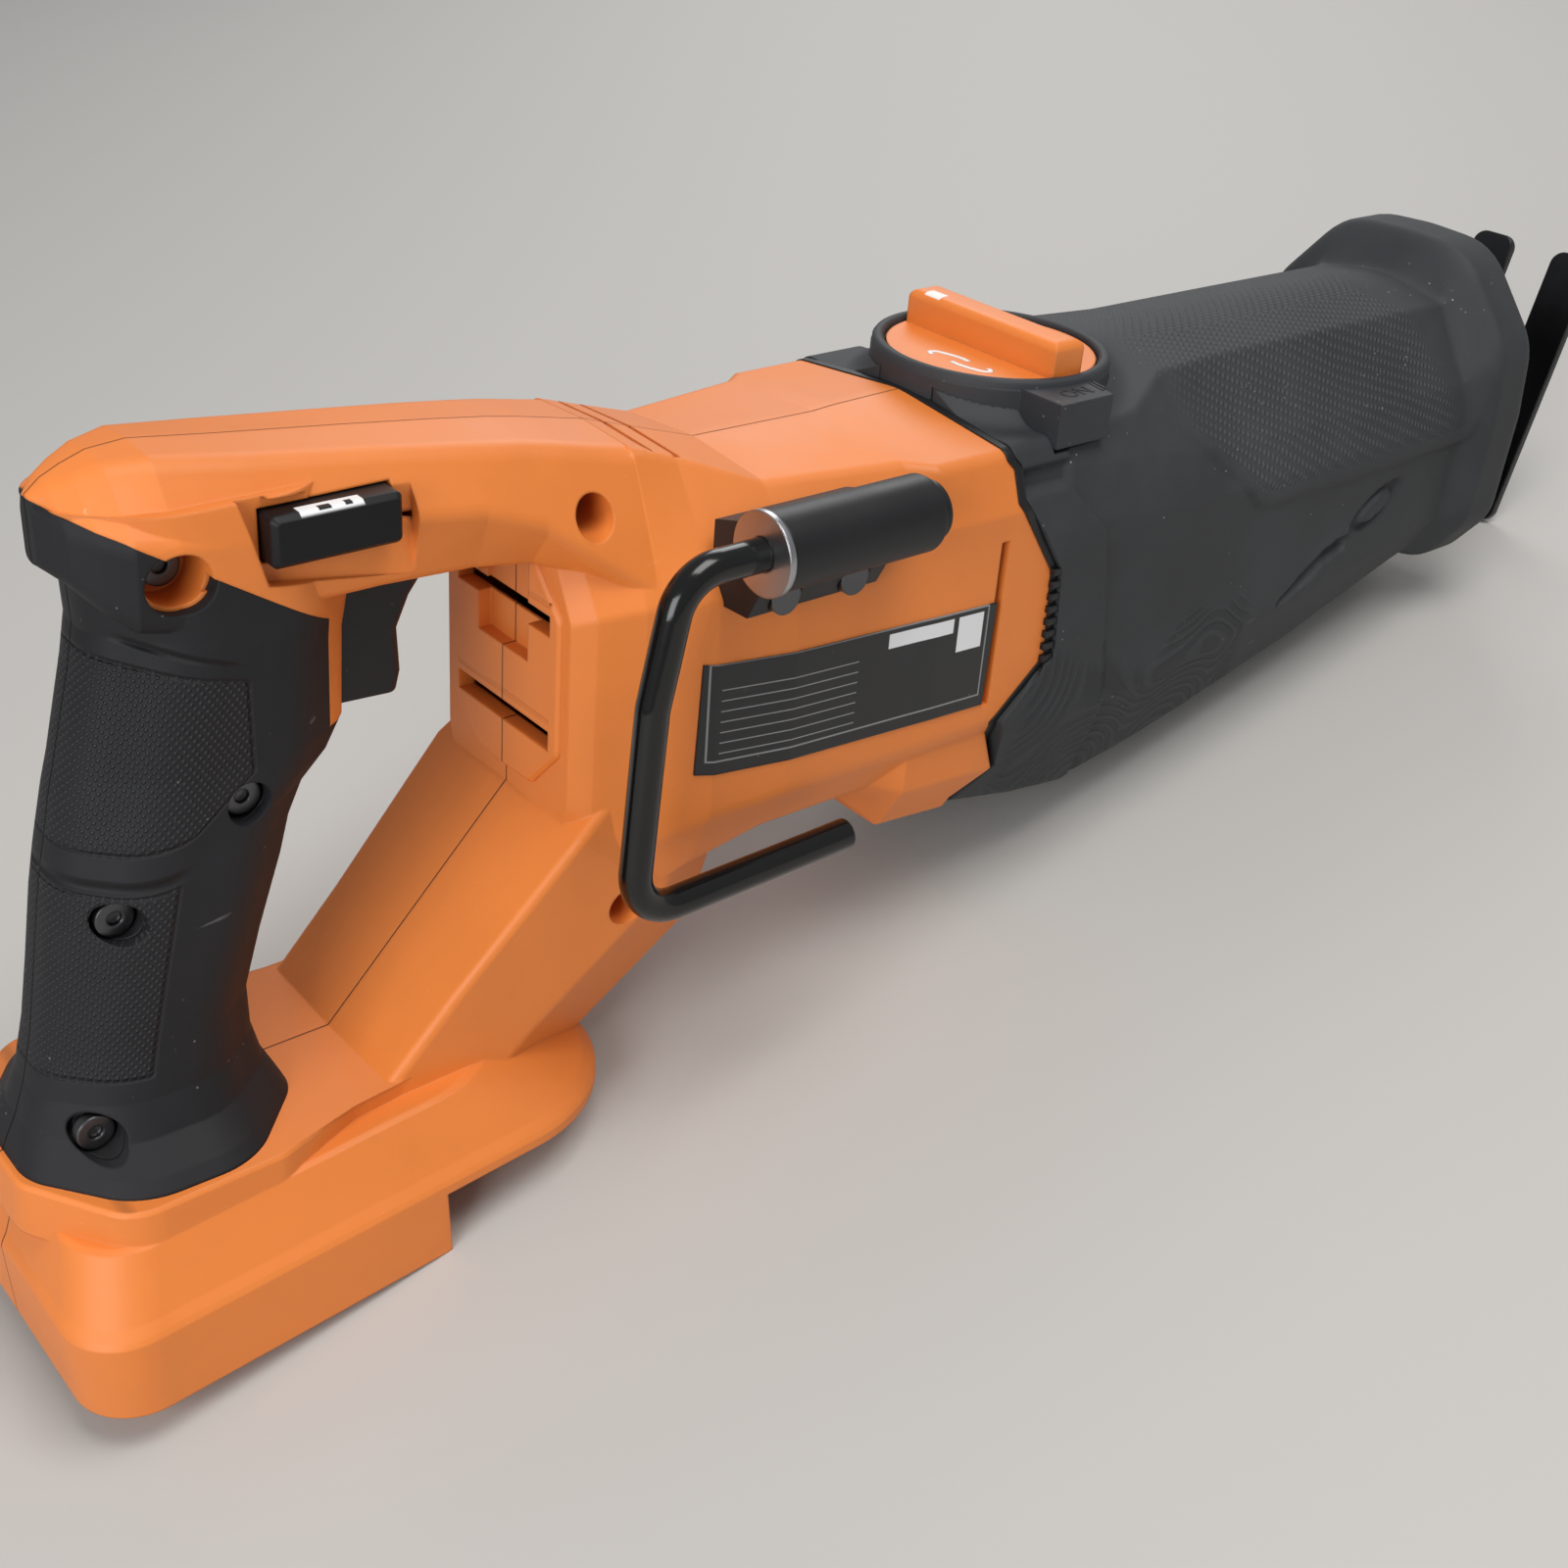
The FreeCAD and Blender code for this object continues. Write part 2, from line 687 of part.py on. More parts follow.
def vent_panel():
    """Raised eight-sided panel around the rear louvres."""
    rear = size("body_rear")
    axis = size("vent_height")
    half = [(0.0, 34.6, 40.0), (9.0, 34.4, 3.0), (19.6, 23.0, 3.0), (19.6, -7.0, 3.0),
            (10.0, -17.6, 3.0), (0.0, -18.0, 40.0)]
    outline = [(y, axis + z, radius) for y, z, radius in mirrored(half)]
    return loft([rounded_wire(outline, across(rear + 3.0)), rounded_wire(outline, across(rear - 0.4)),
                 rounded_wire(inset(outline, 0.8), across(rear - 1.1))])


def lock_pocket(side):
    """Recess in the arm around the lock-off button."""
    arm = size("body_top")
    points = [(49.5, arm + 14.0), (83.0, arm + 10.6), (83.4, arm - 7.0), (54.0, arm - 2.0)]
    low, high = (-30.0, -16.0) if side < 0 else (16.0, 30.0)
    return prism_across(points, low, high)


def battery_dock():
    """Space under the foot for the battery, with its two rails left standing."""
    roof = size("dock_roof")
    rails = size("rail_height")
    start = 12.0
    reach = size("foot_length")
    upper = Part.makeBox(reach, 2 * size("dock_half_width"), roof - rails,
                         Vector(start, -size("dock_half_width"), rails))
    lower = Part.makeBox(reach, 2 * size("rail_half_width"), rails + 10.0,
                         Vector(start, -size("rail_half_width"), -10.0))
    return foot_frame(upper.fuse(lower))


def top_grooves():
    """Two shallow grooves that cross the top, where arm and body meet."""
    rear = size("body_rear")
    top = size("body_top")
    solids = []
    for shift in (0.0, 6.0):
        groove = Part.makeBox(1.6, 34.0, 3.0, Vector(-0.8, -17.0, -1.1))
        groove.rotate(Vector(), Vector(0, 1, 0), 14.0)
        groove.translate(Vector(rear + 22.0 + shift, 0, top + 7.5 - 0.25 * shift * 1.6))
        solids.append(groove)
    return solids


def trigger_slot():
    """Opening in the front of the grip for the trigger."""
    base = size("grip_base_height")
    wide = size("trigger_width") + 1.0
    return Part.makeBox(60.0, wide, 27.0, Vector(56.0, -wide / 2, base + 77.6))


def motor_ribs(outside):
    """Two plates inside the body that hold the motor's stator."""
    axis = size("motor_axis_height")
    start = size("stator_start")
    reach = size("stator_length")
    wide = 2 * size("body_half_width")
    plates = []
    for x in (start + 3.0, start + reach - 6.0):
        plate = Part.makeBox(3.0, 2 * wide, 200.0, Vector(x, -wide, 0))
        plates.append(plate.common(outside))
    hole = along(size("stator_radius") + size("running_gap"), start, start + reach, 0, axis)
    return [plate.cut(hole) for plate in plates]


def case_screw_places():
    """Centre lines of the screws between the gear case and the housing, as (y, z)."""
    side = size("case_screw_side")
    heights = (size("case_screw_low"), size("case_screw_high"))
    return [(hand * side, z) for hand in (-1, 1) for z in heights]


def along(radius, start, end, y, z):
    """Cylinder along the tool between two values of x."""
    return Part.makeCylinder(radius, end - start, Vector(start, y, z), Vector(1, 0, 0))


def upright(radius, x, low, high):
    """Upright cylinder on the tool's mid plane."""
    return Part.makeCylinder(radius, high - low, Vector(x, 0, low))


def build_housing():
    """Two clamshell halves of the orange housing, and the volumes that others take from it."""
    wall = size("shell_wall")
    rubber = size("rubber_wall")
    base = size("grip_base_height")
    front = size("body_front")
    arm = row_solid(arm_rows(), 0.0, across)
    body = row_solid(body_rows(), 0.0, across)
    strut = row_solid(strut_rows(), 0.0, along_strut)
    arm_and_grip = arm.fuse(grip_solid(0.0, base, base + 127.0))
    skin = arm_and_grip.common(rubber_zone())
    core = grip_solid(rubber, base - 4.0, base + 112.0)
    core = core.fuse(row_solid(arm_rows(), rubber, across, 26.0, 80.0))
    handle = arm_and_grip.cut(rubber_zone()).fuse(core)
    outside = handle.fuse([body, strut, foot_solid(), pedestal_solid(), lug_solid(), vent_panel()])
    hollow = row_solid(body_rows(), wall, across, size("body_rear") + wall)
    hollow = hollow.fuse([
        row_solid(arm_rows(), wall, across, 68.0, size("body_rear") + 14.0),
        row_solid(arm_rows(), wall + rubber, across, 32.0, 70.0),
        row_solid(strut_rows(), wall, along_strut, 4.0, 80.0),
        grip_solid(rubber + wall, base + 3.0, base + 108.0),
    ])
    wide = size("body_half_width")
    nose = Part.makeBox(40.0, 4 * wide, 200.0, Vector(front, -2 * wide, 0))
    shell = outside.cut(hollow.fuse(nose))
    shell = shell.fuse([boss.common(outside) for boss in boss_solids()])
    shell = shell.common(behind_jag(0.0))
    inside = row_solid(boot_rows(), size("boot_wall"), across, front - 24.0, front + 4.0)
    sockets = []
    for y, z in case_screw_places():
        sockets.append(along(5.0, front - 40.0, front - 22.0, y, z).common(body))
        sockets.append(along(5.0, front - 22.0, front, y, z).common(inside))
    shell = shell.fuse(motor_ribs(body) + sockets)
    openings = well_solids() + vent_solids() + top_grooves()
    openings += [lock_pocket(-1), lock_pocket(1), battery_dock(), trigger_slot(), lock_passage()]
    openings += [along(pilot_radius(), front - 14.0, front + 1.0, y, z) for y, z in case_screw_places()]
    hook = hook_side() - 14.0
    openings += [across_cylinder(pilot_radius(), x, z, hook, -29.0) for x, z in hook_screw_places()]
    shell = shell.cut(openings)
    for label, low in (("housing_right", -120.0), ("housing_left", 0.0)):
        side = Part.makeBox(600.0, 120.0, 400.0, Vector(-100.0, low, -100.0))
        sub_part(label, feature(f"{label}_shell", shell.common(side)))
    return skin, core, body, sockets


def lock_passage():
    """Square passage through the arm for the lock-off button."""
    gap = size("fit_gap")
    length = size("lock_length") + 2 * gap
    height = size("lock_height") + 2 * gap
    low = size("body_top") + size("lock_lift") - gap
    return Part.makeBox(length, 80.0, height, Vector(size("lock_start") - gap, -40.0, low))


def build_rubber(skin, core):
    """Soft grip skins, one moulded on each half."""
    skin = skin.cut(core)
    holes = []
    for x, z, surface, well, _ in SCREWS.values():
        radius = size(well) + (0.7 if well == "top_well_radius" else 0.0)
        holes.append(across_cylinder(radius, x, z, -surface - 20.0, 0.0))
    skin = skin.cut(holes + [lock_pocket(-1), lock_pocket(1), lock_passage(), trigger_slot()])
    for label, low in (("grip_rubber_right", -120.0), ("grip_rubber_left", 0.0)):
        side = Part.makeBox(600.0, 120.0, 400.0, Vector(-100.0, low, -100.0))
        half = skin.common(side)
        largest = max(half.Solids, key=lambda solid: solid.Volume)
        sub_part(label, feature(f"{label}_skin", largest))


def boot_rows():
    """Stations of the rubber boot: x and half outline from crown to keel."""
    wide = size("boot_half_width") / 41.0
    top = size("boot_top")
    axis = size("axis_height")
    front = size("body_front")
    table = [
        (front - 24.0, -5.0, 33.6, -9.4, 36.6, 20.0, 39.6, 8.0, 40.4, -39.0, 31.0, -61.0, -63.0),
        (front + 4.0, -4.6, 33.6, -9.2, 36.8, 19.6, 40.0, 7.0, 40.8, -40.0, 31.0, -67.0, -69.0),
        (front + 27.0, -3.0, 31.5, -8.0, 36.6, 18.0, 40.4, 5.0, 41.0, -41.0, 31.0, -70.0, -72.0),
        (front + 44.0, 0.0, 23.0, -4.2, 35.4, 15.4, 40.4, 4.0, 40.8, -40.0, 30.6, -68.0, -70.0),
        (front + 68.0, 0.0, 20.5, -4.5, 34.2, 13.0, 39.4, 3.4, 40.2, -37.0, 30.0, -64.0, -66.0),
        (front + 112.0, 0.0, 20.5, -4.5, 33.4, 12.5, 37.6, 3.0, 38.2, -32.0, 29.0, -54.8, -57.0),
        (front + 163.0, -0.3, 20.5, -4.6, 32.6, 12.0, 35.8, 3.0, 35.8, -26.0, 27.5, -41.0, -43.0),
    ]
    return [(x, boot_section(wide, top, axis, row)) for x, *row in table]


def boot_section(wide, top, axis, row):
    """Half outline of the boot from one table row."""
    crown, edge, edge_z, panel, panel_z, side, side_z, flank, flank_z, base, base_z, keel = row
    return [(0.0, top + crown, 40.0), (wide * edge, top + edge_z, 3.0), (wide * panel, axis + panel_z, 3.0),
            (wide * side, axis + side_z, 4.0), (wide * flank, axis + flank_z, 9.0),
            (wide * base, axis + base_z, 9.0), (0.0, axis + keel, 30.0)]


def flange_outline():
    """Outline of the flared collar at the front of the boot."""
    wide = size("boot_half_width") / 41.0
    axis = size("axis_height")
    return mirrored([(0.0, axis + 46.0, 30.0), (wide * 19.5, axis + 45.0, 5.0),
                     (wide * 39.0, axis + 22.0, 6.0), (wide * 41.0, axis + 2.0, 6.0),
                     (wide * 40.6, axis - 28.0, 8.0), (wide * 29.5, axis - 43.0, 7.0),
                     (0.0, axis - 44.5, 30.0)])


def boot_outside():
    """Outer form of the boot with its flange, as one loft."""
    front = size("boot_front")
    outline = flange_outline()
    wires = [rounded_wire(mirrored(half), across(x)) for x, half in boot_rows()]
    rear = boot_rows()[-1][0]
    for x, depth in ((rear + 6.0, 1.4), (rear + 8.5, 0.0), (front - 2.0, 0.0), (front, 2.0)):
        wires.append(rounded_wire(inset(outline, depth) if depth else outline, across(x)))
    return loft(wires)


def boot_inside(depth, reach):
    """Space inside the boot at a depth below its surface, from its rear end to a reach."""
    rows = boot_rows()
    wires = [rounded_wire(inset(mirrored(half), depth), across(x)) for x, half in rows]
    wires.append(rounded_wire(inset(mirrored(rows[-1][1]), depth), across(reach)))
    return loft(wires)


def boot_mouth():
    """Open space inside the flange."""
    lip = inset(flange_outline(), size("boot_lip"))
    ends = (case_front(), size("boot_front") + 1.0)
    return loft([rounded_wire(lip, across(x)) for x in ends])


def dial_space(clearance):
    """Space that the dial's collar takes in the case and the boot."""
    centre = size("dial_centre")
    radius = size("dial_radius") + size("fit_gap") + size("collar_width") + clearance
    return [upright(radius, centre, size("collar_foot"), 190.0), collar_tab(clearance)]


def collar_tab(clearance):
    """Block beside the dial that carries the setting marks."""
    centre = size("dial_centre")
    radius = size("dial_radius")
    inner = -radius + 3.0
    outer = -radius - 12.0 - clearance
    points = [(centre - 14.5 - clearance, inner), (centre - 14.5 - clearance, outer),
              (centre + 2.0 + clearance, outer), (centre + 5.0 + clearance, inner)]
    wire = Part.makePolygon([Vector(x, y, size("collar_foot")) for x, y in points + points[:1]])
    return Part.Face(wire).extrude(Vector(0, 0, size("dial_face") - size("collar_foot") - 0.4))


def build_boot_and_case(sockets):
    """Rubber boot, gasket and the two halves of the metal gear case."""
    wall = size("boot_wall")
    case_wall = wall + size("case_wall")
    start = size("body_front")
    rear_wall = size("case_rear_wall")
    nose = size("case_nose")
    front = case_front()
    rows = boot_rows()
    inner = boot_inside(wall, front)
    release = upright(size("release_radius") + size("fit_gap"), release_place(), 60.0, post_height())
    taken = [behind_jag(size("gasket_width")), release] + dial_space(0.0)
    boot = boot_outside().cut(inner.fuse(boot_mouth())).cut(taken)
    sub_part("front_boot", feature("front_boot_shell", boot))
    band = row_solid(body_rows(), -0.3, across).cut(row_solid(body_rows(), size("shell_wall"), across))
    gasket = band.common(behind_jag(size("gasket_width"))).cut([behind_jag(0.0)] + dial_space(0.0))
    pieces = sorted(gasket.Solids, key=lambda solid: -solid.Volume)
    sub_part("boot_gasket", feature("boot_gasket_strip", pieces[0].cut([boot] + sockets)))
    block = inner.common(Part.makeBox(front - start, 200.0, 200.0, Vector(start, -100.0, 0)))
    hollow = row_solid(rows, case_wall, across, start + rear_wall, front - nose)
    web_start = size("crown_centre") + size("crank_radius") + 16.0
    web = Part.makeBox(size("case_web"), 200.0, 60.0, Vector(web_start, -100.0, size("axis_height") - 20.0))
    hollow = hollow.cut(web)
    case = block.cut(hollow).fuse(gear_boss(block)).cut(case_openings(web_start))
    split = size("axis_height")
    for label, low in (("gear_case_lower", split - 200.0), ("gear_case_upper", split)):
        half = case.common(Part.makeBox(600.0, 300.0, 200.0, Vector(0, -150.0, low)))
        sub_part(label, feature(f"{label}_half", half))
    return web_start


def crown_plane():
    """Height of the tips of the crown gear's teeth."""
    return size("motor_axis_height") + size("pinion_radius") + size("fit_gap")


def gear_boss(block):
    """Boss on the case floor that carries the crown gear's bearing."""
    top = crown_plane() - 3.0
    boss = upright(size("bearing_radius") + 4.0, size("crown_centre"), 40.0, top)
    return boss.common(block)


def case_openings(web_start):
    """Bores and pockets of the gear case."""
    axis = size("axis_height")
    motor = size("motor_axis_height")
    start = size("body_front")
    front = case_front()
    bearing = size("bearing_radius")
    width = size("bearing_width")
    gap = size("fit_gap")
    seat = crown_plane() - 3.0
    bush = size("spindle_radius") + size("bush_wall")
    openings = [along(bearing, start + 1.0, start + 1.0 + width, 0, motor)]
    openings.append(along(size("motor_shaft_radius") + 1.0, start - 1.0, start + 20.0, 0, motor))
    openings.append(upright(bearing, size("crown_centre"), seat - width, seat + 5.0))
    openings.append(upright(size("crown_shaft_radius") + 1.0, size("crown_centre"), seat - width - 5.0, seat))
    openings.append(along(bush, web_start - 1.0, web_start + size("case_web") + 1.0, 0, axis))
    openings.append(along(bush, front - size("case_nose") - 1.0, front - size("seal_width"), 0, axis))
    openings.append(along(bush + 2.0, front - size("seal_width"), front + 1.0, 0, axis))
    openings.append(post_tunnel(gap))
    openings.append(upright(size("release_radius") + gap, release_place(), 60.0, post_height() + 1.0))
    openings.append(along(size("lamp_radius"), front - 6.0, front + 1.0, size("lamp_side"), lamp_height()))
    stem = size("dial_stem_radius") + size("running_gap")
    openings.append(upright(stem, size("dial_centre"), axis + 20.0, size("dial_face")))
    openings.append(upright(cam_radius() + 1.0, size("dial_centre"), cam_low() - 0.6, cam_low() + 6.4))
    for y, z in case_screw_places():
        openings.append(along(size("screw_radius") + 0.2, start - 1.0, start + 20.0, y, z))
        openings.append(along(size("screw_head_radius") + 0.3, start + 7.0, start + 20.0, y, z))
    return openings + dial_space(0.0)


def lamp_height():
    """Height of the work lamp's axis."""
    return size("axis_height") - size("lamp_drop")


def cam_low():
    """Underside of the orbit cam on the dial's stem."""
    return size("dial_face") - size("dial_thick") - size("dial_stem_length")


def cam_radius():
    """Reach of the orbit cam from the dial's axis."""
    return size("dial_stem_radius") + 2.0


def post_height():
    """Centre height of the shoe's post, at the level of its pivot pin."""
    lean = math.radians(size("shoe_lean"))
    up = size("shoe_pin_up")
    back = size("shoe_pin_back")
    return size("shoe_low_edge") + up * math.cos(lean) + back * math.sin(lean)


def pin_reach():
    """Place of the shoe's pivot pin along the tool."""
    lean = math.radians(size("shoe_lean"))
    return shoe_edge() + size("shoe_pin_up") * math.sin(lean) - size("shoe_pin_back") * math.cos(lean)


def post_tunnel(gap):
    """Rectangular way through the case nose for the shoe's post."""
    wide = size("shoe_post_width") + 2 * gap
    thick = size("shoe_post_thick") + 2 * gap
    start = case_front() - size("case_nose") - 1.0
    low = post_height() - thick / 2
    return Part.makeBox(size("case_nose") + 2.0, wide, thick, Vector(start, -wide / 2, low))


def build_dial():
    """Orbit dial with its bar grip, its fixed collar and the cam on its stem."""
    centre = "dial_centre"
    disc = cylinder("dial_disc", "dial_radius", "dial_thick", (centre, 0, "dial_face - dial_thick"))
    bar = box("dial_bar", "dial_bar_width", "2 * dial_radius - 1", "dial_bar_height",
              (f"{centre} - dial_bar_width / 2", 0, "dial_face"))
    knob = fuse("dial_knob", disc, bar)
    rounded = document.addObject("Part::Fillet", "dial_rounded")
    rounded.Base = knob
    document.recompute()
    top = size("dial_face") + size("dial_bar_height")
    edges = [(index, 2.2, 2.2) for index, edge in enumerate(knob.Shape.Edges, start=1)
             if all(abs(vertex.Z - top) < 0.01 for vertex in edge.Vertexes)]
    rounded.Edges = edges
    stem = cylinder("dial_stem", "dial_stem_radius - running_gap", "dial_stem_length",
                    (centre, 0, "dial_face - dial_thick - dial_stem_length"))
    sub_part("orbit_dial", fuse("dial_turned", rounded, stem))
    cam = cylinder("orbit_cam_disc", "dial_stem_radius + 1", "4.5",
                   (f"{centre} + 1", 0, "dial_face - dial_thick - dial_stem_length - 0.1"))
    bore = cylinder("orbit_cam_bore", "dial_stem_radius - running_gap", "8",
                    (centre, 0, "dial_face - dial_thick - dial_stem_length - 1"))
    sub_part("orbit_cam", cut("orbit_cam_ring", cam, bore))
    outer = dial_space(0.0)
    floor = size("collar_foot") + 2.0
    high = size("dial_face") - 0.8
    crop = Part.makeBox(200.0, 200.0, high - size("collar_foot"), Vector(150.0, -100.0, size("collar_foot")))
    collar = outer[0].common(crop).fuse(outer[1])
    centre = size("dial_centre")
    collar = collar.cut([upright(size("dial_radius") + size("fit_gap"), centre, floor, high + 1.0),
                         upright(size("dial_stem_radius") + size("running_gap"), centre, 100.0, high + 1.0)])
    sub_part("dial_collar", feature("dial_collar_ring", collar))


def build_motor():
    """Stator, rotor, end bell, fan, pinion and the motor's two bearings."""
    axis = "motor_axis_height"
    start = "stator_start"
    stator = ring("stator_iron", "stator_radius", "stator_bore", "stator_length", (start, 0, axis), "x")
    slots = []
    for index in range(6):
        angle = math.radians(60 * index + 30)
        slot = cylinder(f"stator_slot_{index}", 3.4, "stator_length + 2",
                        (f"{start} - 1", f"(stator_bore + 4.6) * {math.cos(angle):.6f}",
                         f"{axis} + (stator_bore + 4.6) * {math.sin(angle):.6f}"), "x")
        slots.append(slot)
    sub_part("stator", cut("stator_slotted", stator, *slots))
    rotor = ring("rotor_iron", "stator_bore - rotor_air_gap", "motor_shaft_radius", "stator_length - 2",
                 (f"{start} + 1", 0, axis), "x")
    sub_part("rotor", rotor)
    shaft_end = "crown_centre - crown_radius + crown_face_width"
    shaft = cylinder("motor_shaft_rod", "motor_shaft_radius", f"{shaft_end} - {start} + bell_thick",
                     (f"{start} - bell_thick", 0, axis), "x")
    sub_part("motor_shaft", shaft)
    bell = cylinder("bell_disc", "stator_radius", "bell_thick", (f"{start} - bell_thick", 0, axis), "x")
    seat = cylinder("bell_seat", "bearing_radius", "bearing_width + 1",
                    (f"{start} - bearing_width - 1", 0, axis), "x")
    hole = cylinder("bell_hole", "motor_shaft_radius + 1", "20", (f"{start} - 15", 0, axis), "x")
    vents = []
    for index in range(6):
        angle = math.radians(60 * index)
        vent = cylinder(f"bell_vent_{index}", 4.0, "bell_thick + 2",
                        (f"{start} - bell_thick - 1", f"(bearing_radius + 8) * {math.cos(angle):.6f}",
                         f"{axis} + (bearing_radius + 8) * {math.sin(angle):.6f}"), "x")
        vents.append(vent)
    sub_part("motor_end_bell", cut("bell_cut", bell, seat, hole, *vents))
    rear = bearing("rear_bearing", (f"{start} - bearing_width - 1", 0, axis), "motor_shaft_radius", "x")
    front = bearing("front_bearing", ("body_front + 1", 0, axis), "motor_shaft_radius", "x")
    sub_part("motor_bearings", rear, front)
    build_fan()
    build_pinion()


def bearing(name, at, bore, axis):
    """Ball bearing drawn as a plain ring with a running clearance."""
    return ring(name, "bearing_radius - 0.02", f"{bore} + running_gap", "bearing_width", at, axis)


def build_fan():
    """Cooling fan on the motor shaft."""
    axis = "motor_axis_height"
    disc = cylinder("fan_disc", "fan_radius", "2", ("fan_start", 0, axis), "x")
    hub = cylinder("fan_hub", "motor_shaft_radius + 3", "fan_width", ("fan_start", 0, axis), "x")
    document.recompute()
    blades = []
    for index in range(9):
        blade = Part.makeBox(size("fan_width") - 1.0, size("fan_radius") - 8.0, 1.4,
                             Vector(size("fan_start") + 1.0, 7.5, -0.7))
        blade.rotate(Vector(0, 7.5, 0), Vector(1, 0, 0), 24.0)
        blade.rotate(Vector(), Vector(1, 0, 0), 40.0 * index)
        blade.translate(Vector(0, 0, size("motor_axis_height")))
        blades.append(blade)
    wheel = fuse("fan_wheel", disc, hub, feature("fan_blades", Part.Compound(blades)))
    bore = cylinder("fan_bore", "motor_shaft_radius", "fan_width + 2", ("fan_start - 1", 0, axis), "x")
    sub_part("cooling_fan", cut("fan_cut", wheel, bore))


def build_pinion():
    """Toothed pinion on the front end of the motor shaft."""
    axis = size("motor_axis_height")
    start = size("crown_centre") - size("crown_radius")
    root = size("pinion_radius") - 1.2
    width = size("crown_face_width")
    wheel = along(root, start, start + width, 0, axis)
    count = int(size("pinion_teeth"))
    for index in range(count):
        tooth = Part.makeBox(width, size("tooth_width"), size("pinion_radius") - 0.1,
                             Vector(start, -size("tooth_width") / 2, 0))
        tooth.rotate(Vector(), Vector(1, 0, 0), 360.0 * index / count)
        tooth.translate(Vector(0, 0, axis))
        wheel = wheel.fuse(tooth)
    wheel = wheel.cut(along(size("motor_shaft_radius"), start - 1.0, start + width + 1.0, 0, axis))
    sub_part("pinion", feature("pinion_wheel", wheel))


def build_drive(web_start):
    """Crown gear, crank, spindle with its yoke, bushes and seal."""
    centre = size("crown_centre")
    axis = size("axis_height")
    plane = crown_plane()
    teeth = size("tooth_height")
    outer = size("crown_radius")
    top = plane + teeth + size("crown_thick")
    wheel = upright(outer, centre, plane + teeth, top)
    count = int(size("crown_teeth"))
    rows = []
    for index in range(count):
        tooth = Part.makeBox(size("crown_face_width"), size("tooth_width"), teeth + 0.5,
                             Vector(outer - size("crown_face_width"), -size("tooth_width") / 2, plane))
        tooth.rotate(Vector(), Vector(0, 0, 1), 360.0 * index / count)
        tooth.translate(Vector(centre, 0, 0))
        rows.append(tooth)
    rim = upright(outer, centre, plane, top)
    wheel = wheel.fuse(rows).common(rim)
    seat = plane - 3.0
    hub = upright(size("crown_shaft_radius") + 4.0, centre, seat + 0.3, plane + teeth + 1.0)
    shaft = upright(size("crown_shaft_radius"), centre, seat - size("bearing_width") - 2.0, seat + 1.0)
    pin_top = axis - size("yoke_height") / 2 - size("fit_gap")
    pin = Part.makeCylinder(size("crank_pin_radius"), pin_top - top + 1.0,
                            Vector(centre, size("crank_radius"), top - 1.0))
    sub_part("crown_gear", feature("crown_gear_wheel", wheel.fuse([hub, shaft, pin])))
    roller = Part.makeCylinder(size("crank_roller_radius"), pin_top - top - 0.2,
                               Vector(centre, size("crank_radius"), top + 0.2))
    roller = roller.cut(Part.makeCylinder(size("crank_pin_radius") + size("running_gap"), 60.0,
                                          Vector(centre, size("crank_radius"), top - 20.0)))
    sub_part("crank_roller", feature("crank_roller_ring", roller))
    lift = "motor_axis_height + pinion_radius + fit_gap - 3 - bearing_width"
    carrier = bearing("gear_bearing_ring", ("crown_centre", 0, lift), "crown_shaft_radius", "z")
    sub_part("gear_bearing", carrier)
    build_spindle()
    inner = "spindle_radius + running_gap"
    rear = ring("rear_bush", "spindle_radius + bush_wall", inner, "case_web",
                ("crown_centre + crank_radius + 16", 0, "axis_height"), "x")
    front = ring("front_bush", "spindle_radius + bush_wall", inner, "bush_length",
                 (f"{CASE_FRONT} - seal_width - bush_length", 0, "axis_height"), "x")
    sub_part("spindle_bushes", rear, front)
    seal = ring("front_seal_ring", "spindle_radius + bush_wall + 2", inner, "seal_width",
                (f"{CASE_FRONT} - seal_width", 0, "axis_height"), "x")
    sub_part("front_seal", seal)


def build_spindle():
    """Spindle with the crosswise yoke that the crank roller runs in."""
    axis = size("axis_height")
    centre = size("crown_centre")
    half = size("crank_roller_radius") + size("yoke_wall")
    reach = size("crank_radius") + size("crank_roller_radius") + 1.0
    low = axis - size("yoke_height") / 2
    height = size("yoke_height")
    length = reach + size("yoke_wall")
    outline = [(centre - half, -length, 5.0), (centre + half, -length, 5.0),
               (centre + half, length, 5.0), (centre - half, length, 5.0)]
    block = loft([rounded_wire(outline, level(low)), rounded_wire(outline, level(low + height))])
    open_half = size("crank_roller_radius") + size("running_gap")
    slot_outline = [(centre - open_half, -reach, 6.5), (centre + open_half, -reach, 6.5),
                    (centre + open_half, reach, 6.5), (centre - open_half, reach, 6.5)]
    slot = loft([rounded_wire(slot_outline, level(z)) for z in (low - 1.0, low + height + 1.0)])
    tip = size("boot_front") + size("clamp_stand") + size("clamp_length") - 12.0
    rod = along(size("spindle_radius"), centre + half - 1.5, tip, 0, axis)
    sub_part("spindle", feature("spindle_rod", block.cut(slot).fuse(rod)))


